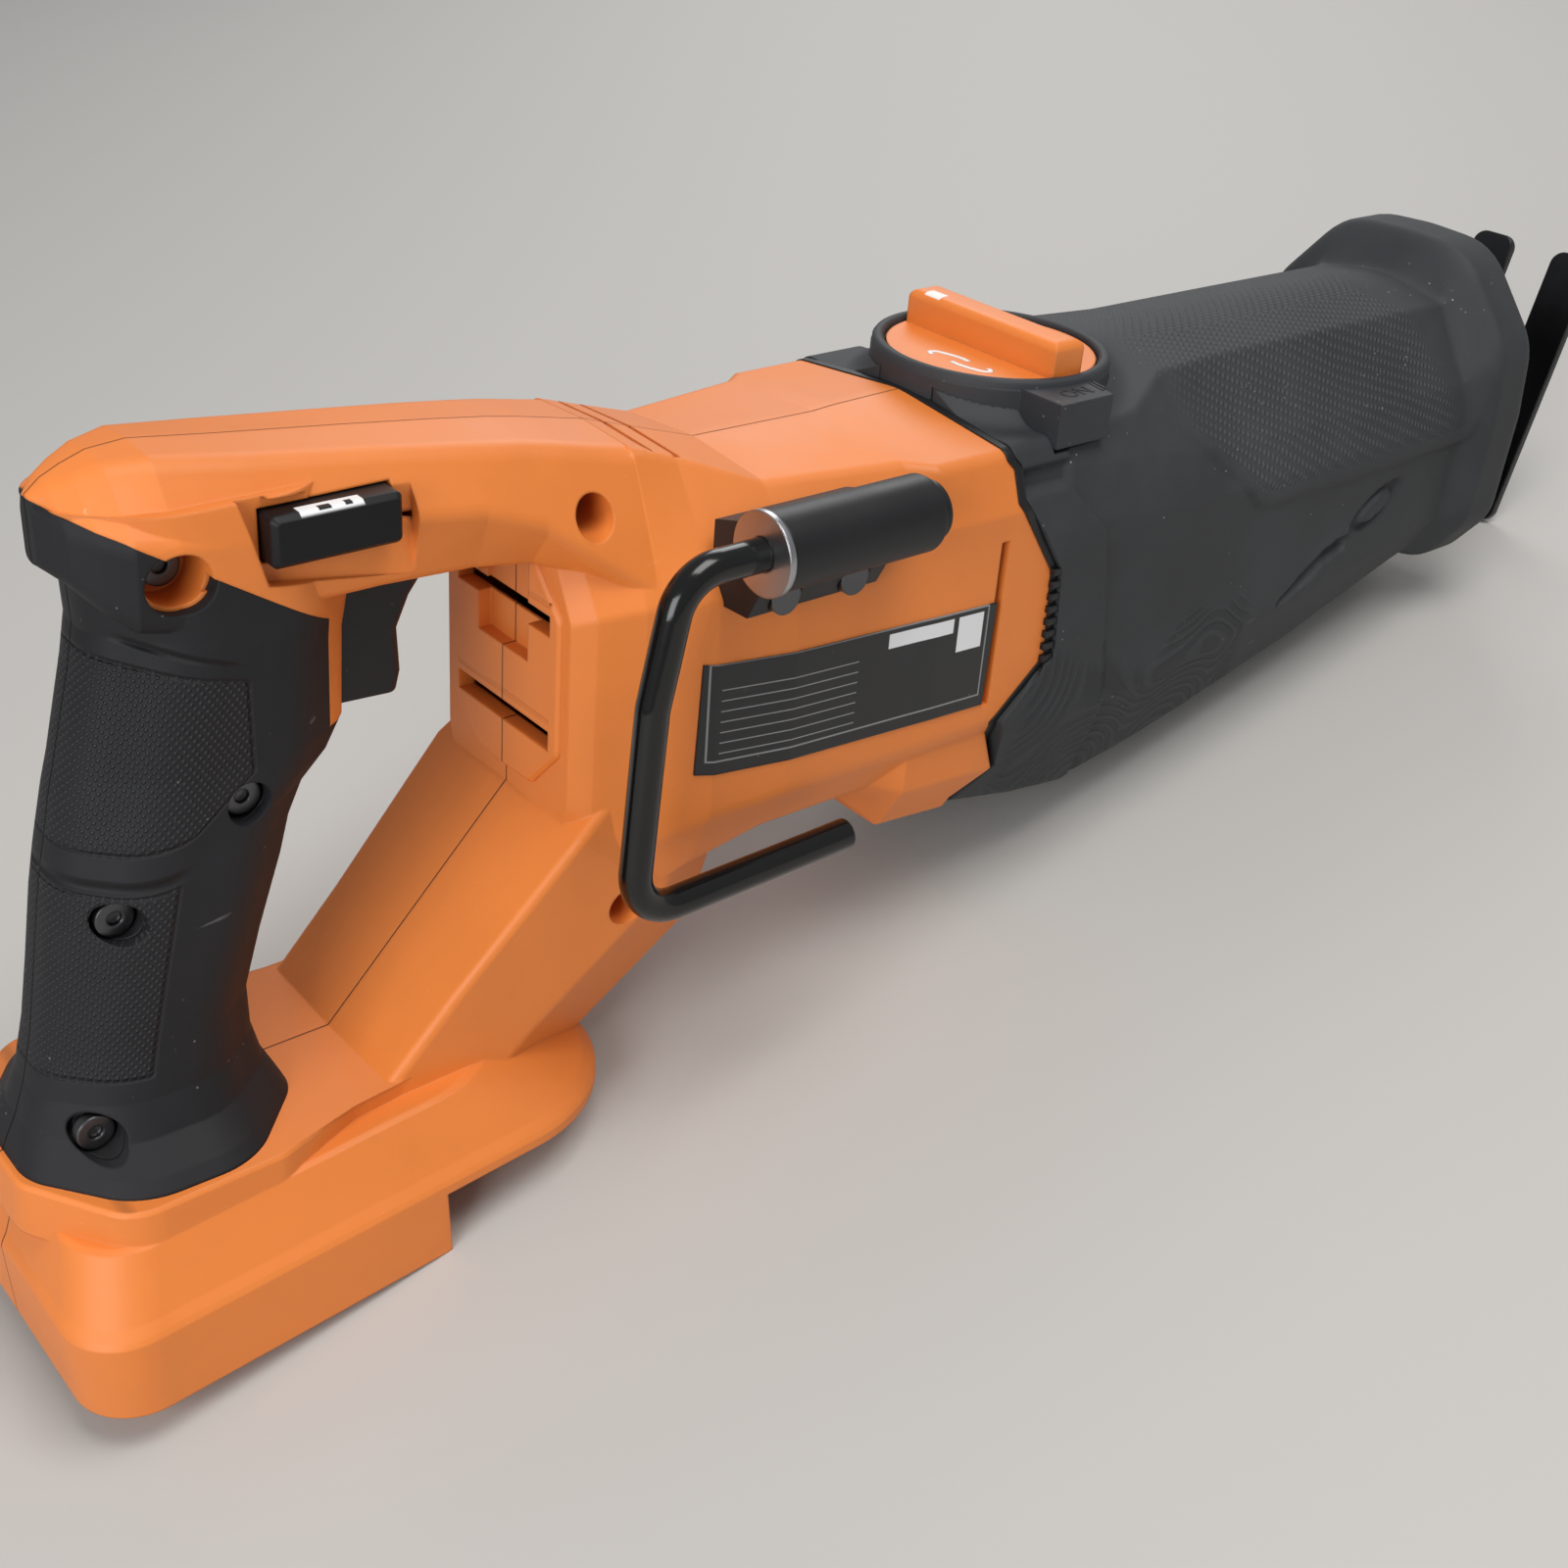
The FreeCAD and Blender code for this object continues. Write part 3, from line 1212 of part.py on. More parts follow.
def build_clamp():
    """Blade clamp body on the spindle's tip and the sleeve that turns on it."""
    axis = "axis_height"
    start = CLAMP_START
    core = cylinder("clamp_core", CLAMP_RADIUS, "clamp_length", (start, 0, axis), "x")
    rim = cylinder("clamp_rim", SLEEVE_RADIUS, "2", (start, 0, axis), "x")
    body = fuse("clamp_solid", core, rim)
    bore = cylinder("clamp_bore", "spindle_radius", "clamp_length - 12", (start, 0, axis), "x")
    slot = box("blade_slot", "14", "blade_slot_thick", "blade_slot_height",
               (f"{start} + clamp_length - 12.5", 0, f"{axis} - blade_slot_height / 2"))
    sub_part("blade_clamp", cut("clamp_cut", body, bore, slot))
    sleeve = ring("clamp_sleeve_ring", SLEEVE_RADIUS, f"{CLAMP_RADIUS} + running_gap",
                  "clamp_length - 5", (f"{start} + 2.3", 0, axis), "x")
    lever = box("clamp_lever", "9", "8", "6", (f"{start} + 5", 0, f"{axis} + {SLEEVE_RADIUS} - 1"))
    sub_part("clamp_sleeve", fuse("clamp_sleeve_turned", sleeve, lever))


def origin_plane(body, role):
    """One of a body's own origin planes."""
    return next(item for item in body.Origin.OriginFeatures if item.Role == role)


def rectangle_sketch(body, name, plane, low, high):
    """Sketch of a rectangle whose corners are bound to formulas."""
    sketch = body.newObject("Sketcher::SketchObject", name)
    sketch.AttachmentSupport = [(origin_plane(body, plane), "")]
    sketch.MapMode = "FlatFace"
    corners = [(-10, 0), (10, 0), (10, 20), (-10, 20)]
    for index in range(4):
        start = Vector(*corners[index], 0)
        end = Vector(*corners[(index + 1) % 4], 0)
        sketch.addGeometry(Part.LineSegment(start, end), False)
    for index in range(4):
        sketch.addConstraint(Sketcher.Constraint("Coincident", index, 2, (index + 1) % 4, 1))
    for index, kind in enumerate(("Horizontal", "Vertical", "Horizontal", "Vertical")):
        sketch.addConstraint(Sketcher.Constraint(kind, index))
    named = [("left", "DistanceX", 0, 1, -10), ("bottom", "DistanceY", 0, 1, 0),
             ("right", "DistanceX", 1, 2, 10), ("top", "DistanceY", 2, 2, 20)]
    texts = {"left": low[0], "bottom": low[1], "right": high[0], "top": high[1]}
    for label, kind, edge, point, value in named:
        number = sketch.addConstraint(Sketcher.Constraint(kind, -1, 1, edge, point, value))
        sketch.renameConstraint(number, label)
        sketch.setExpression(f"Constraints.{label}", formula(texts[label]))
    return sketch


def build_shoe():
    """Steel shoe plate with its slot and ears, its pivot pin, and the post that carries it."""
    body = document.addObject("PartDesign::Body", "shoe_body")
    outline = rectangle_sketch(body, "shoe_outline", "YZ_Plane", ("-shoe_width / 2", "0"),
                               ("shoe_width / 2", "shoe_height"))
    plate = body.newObject("PartDesign::Pad", "shoe_plate")
    plate.Profile = outline
    plate.Reversed = True
    bind(plate, Length="shoe_thick")
    slot_outline = rectangle_sketch(body, "shoe_slot_outline", "YZ_Plane",
                                    ("-shoe_slot_width / 2", "shoe_height * 0.36"),
                                    ("shoe_slot_width / 2", "shoe_height + 1"))
    slot = body.newObject("PartDesign::Pocket", "shoe_slot")
    slot.Profile = slot_outline
    slot.Type = "ThroughAll"
    slot.Midplane = True
    document.recompute()
    corners = [f"Edge{index}" for index, edge in enumerate(slot.Shape.Edges, start=1)
               if abs(abs(edge.tangentAt(edge.FirstParameter).x) - 1.0) < 1e-6]
    fillet = body.newObject("PartDesign::Fillet", "shoe_corners")
    fillet.Base = (slot, corners)
    fillet.Radius = 4.0
    body.Tip = fillet
    ears = []
    for side, hand in (("right", "-1"), ("left", "1")):
        shift = f"{hand} * (shoe_post_width / 2 + fit_gap + shoe_ear_thick / 2)"
        ear = box(f"shoe_ear_{side}", "shoe_pin_back + 5 - shoe_thick", "shoe_ear_thick", "14",
                  ("-shoe_pin_back - 5", shift, "shoe_pin_up - 7"))
        ear.setExpression("Placement.Base.y", formula(f"{shift} - shoe_ear_thick / 2"))
        ears.append(ear)
    hole = cylinder("shoe_pin_hole", "shoe_pin_radius", "60", ("-shoe_pin_back", "-30", "shoe_pin_up"), "y")
    shoe = cut("shoe_plate_and_ears", fuse("shoe_joined", body, *ears), hole)
    half = "(shoe_post_width / 2 + fit_gap + shoe_ear_thick + 0.8)"
    pin = cylinder("shoe_pin_rod", "shoe_pin_radius", f"2 * {half}",
                   ("-shoe_pin_back", f"-{half}", "shoe_pin_up"), "y")
    document.recompute()
    lean = Placement(Vector(shoe_edge(), 0, size("shoe_low_edge")),
                     Rotation(Vector(0, 1, 0), size("shoe_lean")))
    shoe.Placement = lean
    sub_part("shoe", shoe)
    pin.Placement = lean.multiply(pin.Placement)
    for letter in "xyz":
        pin.setExpression(f"Placement.Base.{letter}", None)
    sub_part("shoe_pin", pin)
    build_post()


def build_post():
    """Flat post of the shoe, the button that frees it and the work lamp."""
    reach = pin_reach()
    height = post_height()
    thick = size("shoe_post_thick")
    wide = size("shoe_post_width")
    end = 2.0 * size("shoe_pin_radius") - 1.0
    post = Part.makeBox(size("shoe_post_length"), wide, thick,
                        Vector(reach - size("shoe_post_length"), -wide / 2, height - thick / 2))
    knuckle = Part.makeCylinder(end, wide, Vector(reach, -wide / 2, height), Vector(0, 1, 0))
    hole = Part.makeCylinder(size("shoe_pin_radius") + size("running_gap"), wide + 2.0,
                             Vector(reach, -wide / 2 - 1.0, height), Vector(0, 1, 0))
    depth = 2.0
    high = height - thick / 2 + depth
    notches = [upright(2.0, release_place() - 6.0 * index, high - thick, high) for index in range(4)]
    sub_part("shoe_post", feature("shoe_post_bar", post.fuse(knuckle).cut([hole] + notches)))
    top = height - thick / 2 - size("release_travel") - size("fit_gap")
    keel = size("axis_height") - 46.5
    button = upright(size("release_radius"), release_place(), keel, top)
    sub_part("shoe_release_button", feature("shoe_release_plunger", button))
    lamp = along(size("lamp_radius") - size("running_gap"), case_front() - 6.0, case_front() + 1.5,
                 size("lamp_side"), lamp_height())
    sub_part("work_lamp", feature("work_lamp_lens", lamp))


def rounded_path(points, radius):
    """Open path of straight runs joined by arcs."""
    edges = []
    start = points[0]
    for here, following in zip(points[1:-1], points[2:]):
        back = (start - here).normalize()
        ahead = (following - here).normalize()
        half = back.getAngle(ahead) / 2
        reach = radius / math.tan(half)
        depth = radius / math.sin(half) - radius
        entry = here + back * reach
        leave = here + ahead * reach
        edges.append(Part.LineSegment(start, entry).toShape())
        middle = here + (back + ahead).normalize() * depth
        edges.append(Part.Arc(entry, middle, leave).toShape())
        start = leave
    edges.append(Part.LineSegment(start, points[-1]).toShape())
    return Part.Wire(edges)


def hook_screw_places():
    """Centres of the two bracket screws, as (x, z)."""
    start = size("hook_sleeve_start")
    z = size("hook_axis_height") - 12.2
    return [(start + 8.0, z), (start + size("hook_sleeve_length") - 14.0, z)]


def build_hook(body):
    """Wire hook, the sleeve that it turns in, and the bracket that carries the sleeve."""
    side = hook_side()
    height = size("hook_axis_height")
    start = size("hook_sleeve_start")
    reach = size("hook_sleeve_length")
    rear = size("hook_rear")
    low = height - size("hook_drop")
    wire_radius = size("hook_wire_radius")
    points = [Vector(start + reach - 1.5, side, height), Vector(rear + 7.5, side, height),
              Vector(rear + 2.0, side, height - 26.0), Vector(rear - 0.8, side, low),
              Vector(size("hook_reach"), side, low + 0.8)]
    path = rounded_path(points, 10.0)
    ring_wire = Part.Wire(Part.Circle(points[0], Vector(1, 0, 0), wire_radius).toShape())
    hook = path.makePipeShell([ring_wire], True, True)
    sub_part("hook_wire", feature("hook_wire_rod", hook))
    sleeve = ring("hook_sleeve_tube", "hook_sleeve_radius", "hook_wire_radius + running_gap",
                  "hook_sleeve_length", ("hook_sleeve_start", HOOK_SIDE, "hook_axis_height"), "x")
    cap = cylinder("hook_sleeve_cap", "hook_sleeve_radius - 1.6", "3",
                   ("hook_sleeve_start + hook_sleeve_length", HOOK_SIDE, "hook_axis_height"), "x")
    sub_part("hook_sleeve", fuse("hook_sleeve_closed", sleeve, cap))
    washer = ring("hook_washer_ring", "hook_sleeve_radius + 0.5", "hook_wire_radius + running_gap", "1.4",
                  ("hook_sleeve_start - 1.4", HOOK_SIDE, "hook_axis_height"), "x")
    sub_part("hook_washer", washer)
    outline = [(-30.0, height + 1.0), (side + 6.0, height + 4.0), (side - 2.0, height - 6.0),
               (side + 1.5, height - 9.5), (side + 4.5, height - 15.5), (-30.0, height - 16.0)]
    wire = Part.makePolygon([Vector(start, y, z) for y, z in outline + outline[:1]])
    block = Part.Face(wire).extrude(Vector(reach - 6.0, 0, 0))
    holes = []
    screws = []
    for x, z in hook_screw_places():
        holes.append(across_cylinder(pilot_radius(), x, z, side - 5.0, 0.0))
        holes.append(across_cylinder(size("screw_head_radius") + 0.2, x, z, side - 5.0, side + 4.2))
        screw = across_cylinder(size("screw_radius"), x, z, side + 3.0, -31.0)
        screws.append(screw.fuse(across_cylinder(size("screw_head_radius"), x, z, side + 2.4, side + 4.2)))
    tube = along(size("hook_sleeve_radius"), start - 5.0, start + reach + 5.0, side, height)
    block = block.cut([body, tube] + holes)
    sub_part("hook_bracket", feature("hook_bracket_block", block.Solids[0]))
    sub_part("hook_screws", *[feature(f"hook_screw_{index}", screw) for index, screw in enumerate(screws)])


def build_controls():
    """Trigger, lock-off button, switch, board, wires and battery terminals."""
    wide = size("trigger_width")
    low = size("grip_base_height") + 78.6
    points = [(68.0, low + 24.0), (68.0, low + 1.0), (84.4, low), (85.4, low + 4.0), (84.9, low + 13.0),
              (87.6, low + 19.0), (91.4, low + 24.0)]
    block = prism_across(points, -wide / 2, wide / 2)
    front = [edge for edge in block.Edges if edge.BoundBox.YLength < 0.01 and edge.BoundBox.XMin > 84.0]
    block = block.makeFillet(2.5, front)
    centre = low + 12.5
    switch_front = size("switch_front")
    stem = along(3.0, switch_front - 3.0, 69.0, 0, centre)
    sub_part("trigger", feature("trigger_block", block.fuse(stem)))
    gap = size("fit_gap")
    switch = Part.makeBox(size("switch_length"), size("switch_width"), size("switch_height"),
                          Vector(switch_front - size("switch_length"), -size("switch_width") / 2, low + 1.0))
    bottom = switch_front - size("trigger_travel") - 8.0
    switch = switch.cut(along(3.0 + gap, bottom, switch_front + 1.0, 0, centre))
    sub_part("switch_module", feature("switch_module_block", switch))
    wire = 0.5
    coil = coil_spring(4.2, wire, 6.0, 68.0 - switch_front - 2 * wire)
    coil.rotate(Vector(), Vector(0, 1, 0), 90.0)
    coil.translate(Vector(switch_front + wire, 0, centre))
    sub_part("trigger_spring", feature("trigger_spring_coil", coil))
    build_lock()
    build_electrics()


def coil_spring(radius, wire, turns, length):
    """Coil along Z with a round wire."""
    helix = Part.makeHelix(length / turns, length, radius)
    profile = Part.Wire(Part.Circle(Vector(radius, 0, 0), Vector(0, 1, 0), wire).toShape())
    return Part.Wire(helix).makePipeShell([profile], True, True)


def build_lock():
    """Lock-off button that slides across the arm."""
    start = size("lock_start")
    low = size("body_top") + size("lock_lift")
    end = start + size("lock_length")
    high = low + size("lock_height")
    near = -size("arm_half_width") + 1.6 - (size("lock_travel") - 1.0)
    far = size("arm_half_width") - 1.6
    outline = [(start, low, 1.2), (end, low, 1.2), (end, high, 1.2), (start, high, 1.2)]
    wires = [rounded_wire(inset(outline, 1.0), sideways(near)), rounded_wire(outline, sideways(near + 1.2)),
             rounded_wire(outline, sideways(far - 0.6)), rounded_wire(inset(outline, 0.5), sideways(far))]
    sub_part("lock_off_button", feature("lock_bar", loft(wires)))


def build_electrics():
    """Control board in the strut, its wires, and the battery terminal block in the foot."""
    thick = size("board_thick")
    start = 7.0
    lift = size("shell_wall") + 0.3
    base = along_strut(0.0)(Vector(0, 0, 0))
    board = Part.makeBox(size("board_length"), size("board_width"), thick,
                         Vector(start, -size("board_width") / 2, -lift - thick))
    board.rotate(Vector(), Vector(0, 1, 0), -math.degrees(STRUT_ANGLE))
    board.translate(base)
    sub_part("control_board", feature("control_board_case", board))
    end = Vector(size("stator_start") - size("bell_thick"), 0, size("motor_axis_height") - 20.0)
    begin = along_strut(start + size("board_length"))(Vector(0, lift + thick / 2, 0))
    wires = []
    for y in (-6.0, 0.0, 6.0):
        shift = Vector(0, y, 0)
        run = end - begin
        wires.append(Part.makeCylinder(1.2, run.Length - 0.6, begin + shift + run * (0.3 / run.Length), run))
    ends = Part.makeBox(20.0, 40.0, 40.0, Vector(end.x - 0.1, -20.0, end.z - 20.0))
    wires = [wire.cut(board).cut(ends) for wire in wires]
    sub_part("motor_wires", *[feature(f"motor_wire_{index}", wire) for index, wire in enumerate(wires)])
    roof = size("dock_roof")
    wide = size("terminal_width")
    block = Part.makeBox(size("terminal_length"), wide, size("terminal_height"),
                         Vector(12.0, -wide / 2, roof - size("terminal_height")))
    for y in (-20.0, -8.0, 8.0, 20.0):
        corner = Vector(11.0 + size("terminal_length"), y - 0.4, roof - 8.5)
        blade = Part.makeBox(14.0, 0.8, 6.5, corner)
        block = block.fuse(blade)
    sub_part("battery_terminals", feature("battery_terminal_block", foot_frame(block)))


def build_trim(body):
    """Screws and the rating plate."""
    screws = []
    for index, (x, z, _, _, seat) in enumerate(SCREWS.values()):
        head = across_cylinder(size("screw_head_radius"), x, z, -seat - 2.4, -seat)
        drive = across_cylinder(1.4, x, z, -seat - 3.0, -seat - 1.2)
        shank = across_cylinder(size("screw_radius"), x, z, -seat - 0.5, 8.0)
        screws.append(feature(f"housing_screw_{index}", head.fuse(shank).cut(drive)))
    sub_part("housing_screws", *screws)
    screws = []
    start = size("body_front") + 7.0
    for index, (y, z) in enumerate(case_screw_places()):
        head = along(size("screw_head_radius"), start, start + 3.0, y, z)
        shank = along(size("screw_radius"), start - 20.0, start + 0.5, y, z)
        screws.append(feature(f"case_screw_{index}", head.fuse(shank)))
    sub_part("case_screws", *screws)
    length = size("label_length")
    height = size("label_height")
    start = size("body_rear") + 23.5
    low = size("body_bottom") + 22.6
    window = Part.makeBox(length, 60.0, height, Vector(start, -size("body_half_width") - 20.0, low))
    window.rotate(Vector(start, 0, low), Vector(0, 1, 0), 1.6)
    skin = row_solid(body_rows(), -size("label_thick"), across).cut(body)
    plate = skin.common(window)
    sub_part("rating_plate", feature("rating_plate_skin", plate))


EXTREMES = ("housing_right", "housing_left", "grip_rubber_right", "front_boot", "hook_wire", "shoe")


def stance():
    """Placement that stands the tool on the step of its foot and the low edge of its shoe."""
    tilt = math.radians(size("foot_tilt"))
    step = Vector(size("foot_step") * math.cos(tilt), 0, size("foot_step") * math.sin(tilt))
    low_edge = Vector(shoe_edge(), 0, size("shoe_low_edge"))
    run = low_edge - step
    turn = Rotation(Vector(0, 1, 0), math.degrees(math.atan2(run.z, run.x)))
    lowered = turn.multVec(step)
    points = []
    for item in SUB_PARTS:
        if item.Label in EXTREMES:
            points += [turn.multVec(point) for point in item.Shape.tessellate(0.3)[0]]
    middle_x = (min(point.x for point in points) + max(point.x for point in points)) / 2
    middle_y = (min(point.y for point in points) + max(point.y for point in points)) / 2
    return Placement(Vector(-middle_x, -middle_y, -lowered.z), turn)


def check_document():
    """Stop if any object failed or any sub-part has no sound shape."""
    for item in document.Objects:
        if "Invalid" in item.State or "Error" in item.State:
            raise RuntimeError(f"{item.Name}: {item.State}")
    for item in SUB_PARTS:
        if item.Shape.isNull() or not item.Shape.isValid() or not item.Shape.Solids:
            raise RuntimeError(f"{item.Label}: no sound shape")


def main():
    """Build, place, check and write every sub-part."""
    skin, core, body, sockets = build_housing()
    build_rubber(skin, core)
    web_start = build_boot_and_case(sockets)
    build_dial()
    build_motor()
    build_drive(web_start)
    build_clamp()
    build_shoe()
    build_hook(body)
    build_controls()
    build_trim(body)
    document.recompute()
    standing = stance()
    for item in SUB_PARTS:
        item.Placement = standing
    document.recompute()
    check_document()
    for item in SUB_PARTS:
        item.Shape.exportStep(f"parts/{item.Label}.step")
    print(len(SUB_PARTS), "sub-parts written")


main()
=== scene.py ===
"""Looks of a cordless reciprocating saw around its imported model.

Sizes are in millimetres in the tool's own frame, whose X runs along the spindle
towards the blade, whose Y runs across and whose Z runs up from the foot.
Layout turns them into metres in the frame that the tool stands in.
"""

import json
import logging
import math
from dataclasses import dataclass, field
from enum import Enum

import bmesh
import bpy
import numpy as np
from mathutils import Matrix, Vector

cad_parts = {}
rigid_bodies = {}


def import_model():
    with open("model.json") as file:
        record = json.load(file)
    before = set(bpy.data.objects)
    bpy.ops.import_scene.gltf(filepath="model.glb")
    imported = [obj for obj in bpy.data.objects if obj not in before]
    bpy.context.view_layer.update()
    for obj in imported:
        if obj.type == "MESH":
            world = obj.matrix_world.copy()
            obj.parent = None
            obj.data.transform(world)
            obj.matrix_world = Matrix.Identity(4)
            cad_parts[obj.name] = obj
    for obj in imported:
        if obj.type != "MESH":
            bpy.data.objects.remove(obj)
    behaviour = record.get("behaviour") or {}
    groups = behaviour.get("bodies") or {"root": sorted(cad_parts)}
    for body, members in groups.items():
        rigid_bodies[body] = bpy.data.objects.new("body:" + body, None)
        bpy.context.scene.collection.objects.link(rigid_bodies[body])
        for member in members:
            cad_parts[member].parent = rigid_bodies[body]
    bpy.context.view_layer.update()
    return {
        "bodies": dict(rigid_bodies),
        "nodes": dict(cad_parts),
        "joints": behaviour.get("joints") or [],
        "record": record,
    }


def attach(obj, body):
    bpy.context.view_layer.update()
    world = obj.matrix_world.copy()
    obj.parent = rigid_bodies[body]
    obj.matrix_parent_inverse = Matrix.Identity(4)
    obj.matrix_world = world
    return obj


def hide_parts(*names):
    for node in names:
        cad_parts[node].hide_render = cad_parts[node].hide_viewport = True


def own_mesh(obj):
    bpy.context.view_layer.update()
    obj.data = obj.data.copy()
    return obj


LOG = logging.getLogger("saw")
ARC_STEPS = 6
Colour = tuple[float, float, float]


class Side(Enum):
    """Side of the tool, as the sign of Y."""

    RIGHT = -1.0
    LEFT = 1.0


# ----------------------------------------------------------------- layout


@dataclass
class Layout:
    """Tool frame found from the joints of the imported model.

    Attributes:
        dial_place: Dial's hinge point in the tool's own frame, in millimetres.
    """

    frame: dict
    dial_place: tuple[float, float, float] = (246.0, 0.0, 160.5)
    turn: np.ndarray = field(init=False)
    base: np.ndarray = field(init=False)

    def __post_init__(self) -> None:
        """Work out the turn and the shift from the spindle's and the dial's joints."""
        joints = {joint["name"]: joint for joint in self.frame["record"]["behaviour"]["joints"]}
        along = np.array(joints["spindle_stroke"]["axis"], float)
        upward = np.array(joints["orbit_dial_turn"]["axis"], float)
        across = np.cross(upward, along)
        self.turn = np.stack([along, across, upward], axis=1)
        hinge = np.array(joints["orbit_dial_turn"]["pos_m"], float)
        self.base = hinge - self.turn @ (np.array(self.dial_place) / 1000.0)

    def place(self, points: np.ndarray) -> np.ndarray:
        """Move points from the tool's frame to the standing frame.

        Args:
            points: Array of shape (count, 3), in millimetres.

        Returns:
            Array of the same shape, in metres.
        """
        return np.asarray(points, float) / 1000.0 @ self.turn.T + self.base

    def slot(self, node: str) -> str:
        """Material slot that the record gives a node."""
        parts = self.frame["record"]["subparts"]
        return next(part["material_slot"] for part in parts if part["node"] == node)

    def tool_space(self, bench: "Bench", spot: bpy.types.NodeSocket) -> tuple[bpy.types.NodeSocket, ...]:
        """Turn Object coordinates into the tool's own frame, in millimetres.

        Args:
            bench: Bench of the material.
            spot: Object coordinates.

        Returns:
            The sockets of X, Y and Z: 1000 * turn^T * (point - base).
        """
        back = Matrix([list(row) for row in self.turn.T])
        shift = -1000.0 * self.turn.T @ self.base
        mapped = bench.add("ShaderNodeMapping", {"Vector": spot, "Location": tuple(shift),
                                                 "Rotation": tuple(back.to_euler()), "Scale": (1000.0,) * 3})
        return tuple(bench.add("ShaderNodeSeparateXYZ", {0: mapped.outputs[0]}).outputs)


# ---------------------------------------------------------------- shading


class Bench:
    """Adds nodes to one tree and joins them."""

    def __init__(self, tree: bpy.types.NodeTree) -> None:
        """Keep the tree that the nodes go in."""
        self.tree = tree

    def add(self, kind: str, values: dict | None = None, **settings: object) -> bpy.types.Node:
        """Add a node.

        Args:
            kind: Blender's name of the node type.
            values: Socket name or number to a plain value or to an output socket.
            **settings: Properties of the node itself.

        Returns:
            The new node.
        """
        node = self.tree.nodes.new(kind)
        for name, value in settings.items():
            setattr(node, name, value)
        for socket, value in (values or {}).items():
            if isinstance(value, bpy.types.NodeSocket):
                self.tree.links.new(value, node.inputs[socket])
            else:
                node.inputs[socket].default_value = value
        return node

    def maths(self, operation: str, *values: object, clamp: bool = False) -> bpy.types.NodeSocket:
        """Add a Math node and return its result."""
        node = self.add("ShaderNodeMath", dict(enumerate(values)), operation=operation, use_clamp=clamp)
        return node.outputs[0]

    def mix(self, factor: object, first: object, second: object) -> bpy.types.NodeSocket:
        """Mix two colours and return the result."""
        node = self.add("ShaderNodeMix", data_type="RGBA")
        for index, value in ((0, factor), (6, first), (7, second)):
            if isinstance(value, bpy.types.NodeSocket):
                self.tree.links.new(value, node.inputs[index])
            elif index == 0:
                node.inputs[index].default_value = value
            else:
                node.inputs[index].default_value = (*value[:3], 1.0)
        return node.outputs[2]

    def ramp(self, value: object, low: float, high: float, to_low: float = 0.0,
             to_high: float = 1.0) -> bpy.types.NodeSocket:
        """Map a range of values to another smoothly and return the result."""
        node = self.add("ShaderNodeMapRange", {0: value, 1: low, 2: high, 3: to_low, 4: to_high},
                        interpolation_type="SMOOTHSTEP")
        return node.outputs[0]

    def band(self, value: object, low: float, high: float, soft: float = 0.3) -> bpy.types.NodeSocket:
        """Mask that is one between two values and fades over a soft width."""
        rise = self.ramp(value, low - soft, low + soft)
        fall = self.ramp(value, high - soft, high + soft, 1.0, 0.0)
        return self.maths("MULTIPLY", rise, fall)

    def near(self, value: object, width: float, soft: float = 0.2) -> bpy.types.NodeSocket:
        """Mask that is one where a distance is under a width."""
        return self.ramp(self.maths("ABSOLUTE", value), width - soft, width + soft, 1.0, 0.0)

    def product(self, *masks: bpy.types.NodeSocket) -> bpy.types.NodeSocket:
        """Product of several masks."""
        whole = masks[0]
        for mask in masks[1:]:
            whole = self.maths("MULTIPLY", whole, mask)
        return whole

    def overlay(self, shader: bpy.types.Node, factor: bpy.types.NodeSocket, colour: Colour) -> None:
        """Paint a colour over the shader's base colour where a mask says."""
        socket = shader.inputs["Base Color"]
        self.tree.links.new(self.mix(factor, socket.links[0].from_socket, colour), socket)

    def emboss(self, shader: bpy.types.Node, height: bpy.types.NodeSocket, depth: float) -> None:
        """Add relief over the shader's normal; depth is in millimetres, and less than zero sinks."""
        socket = shader.inputs["Normal"]
        bump = self.add("ShaderNodeBump", {"Height": height, "Distance": abs(depth) / 1000.0, "Strength": 1.0,
                                           "Normal": socket.links[0].from_socket}, invert=depth < 0)
        self.tree.links.new(bump.outputs[0], socket)


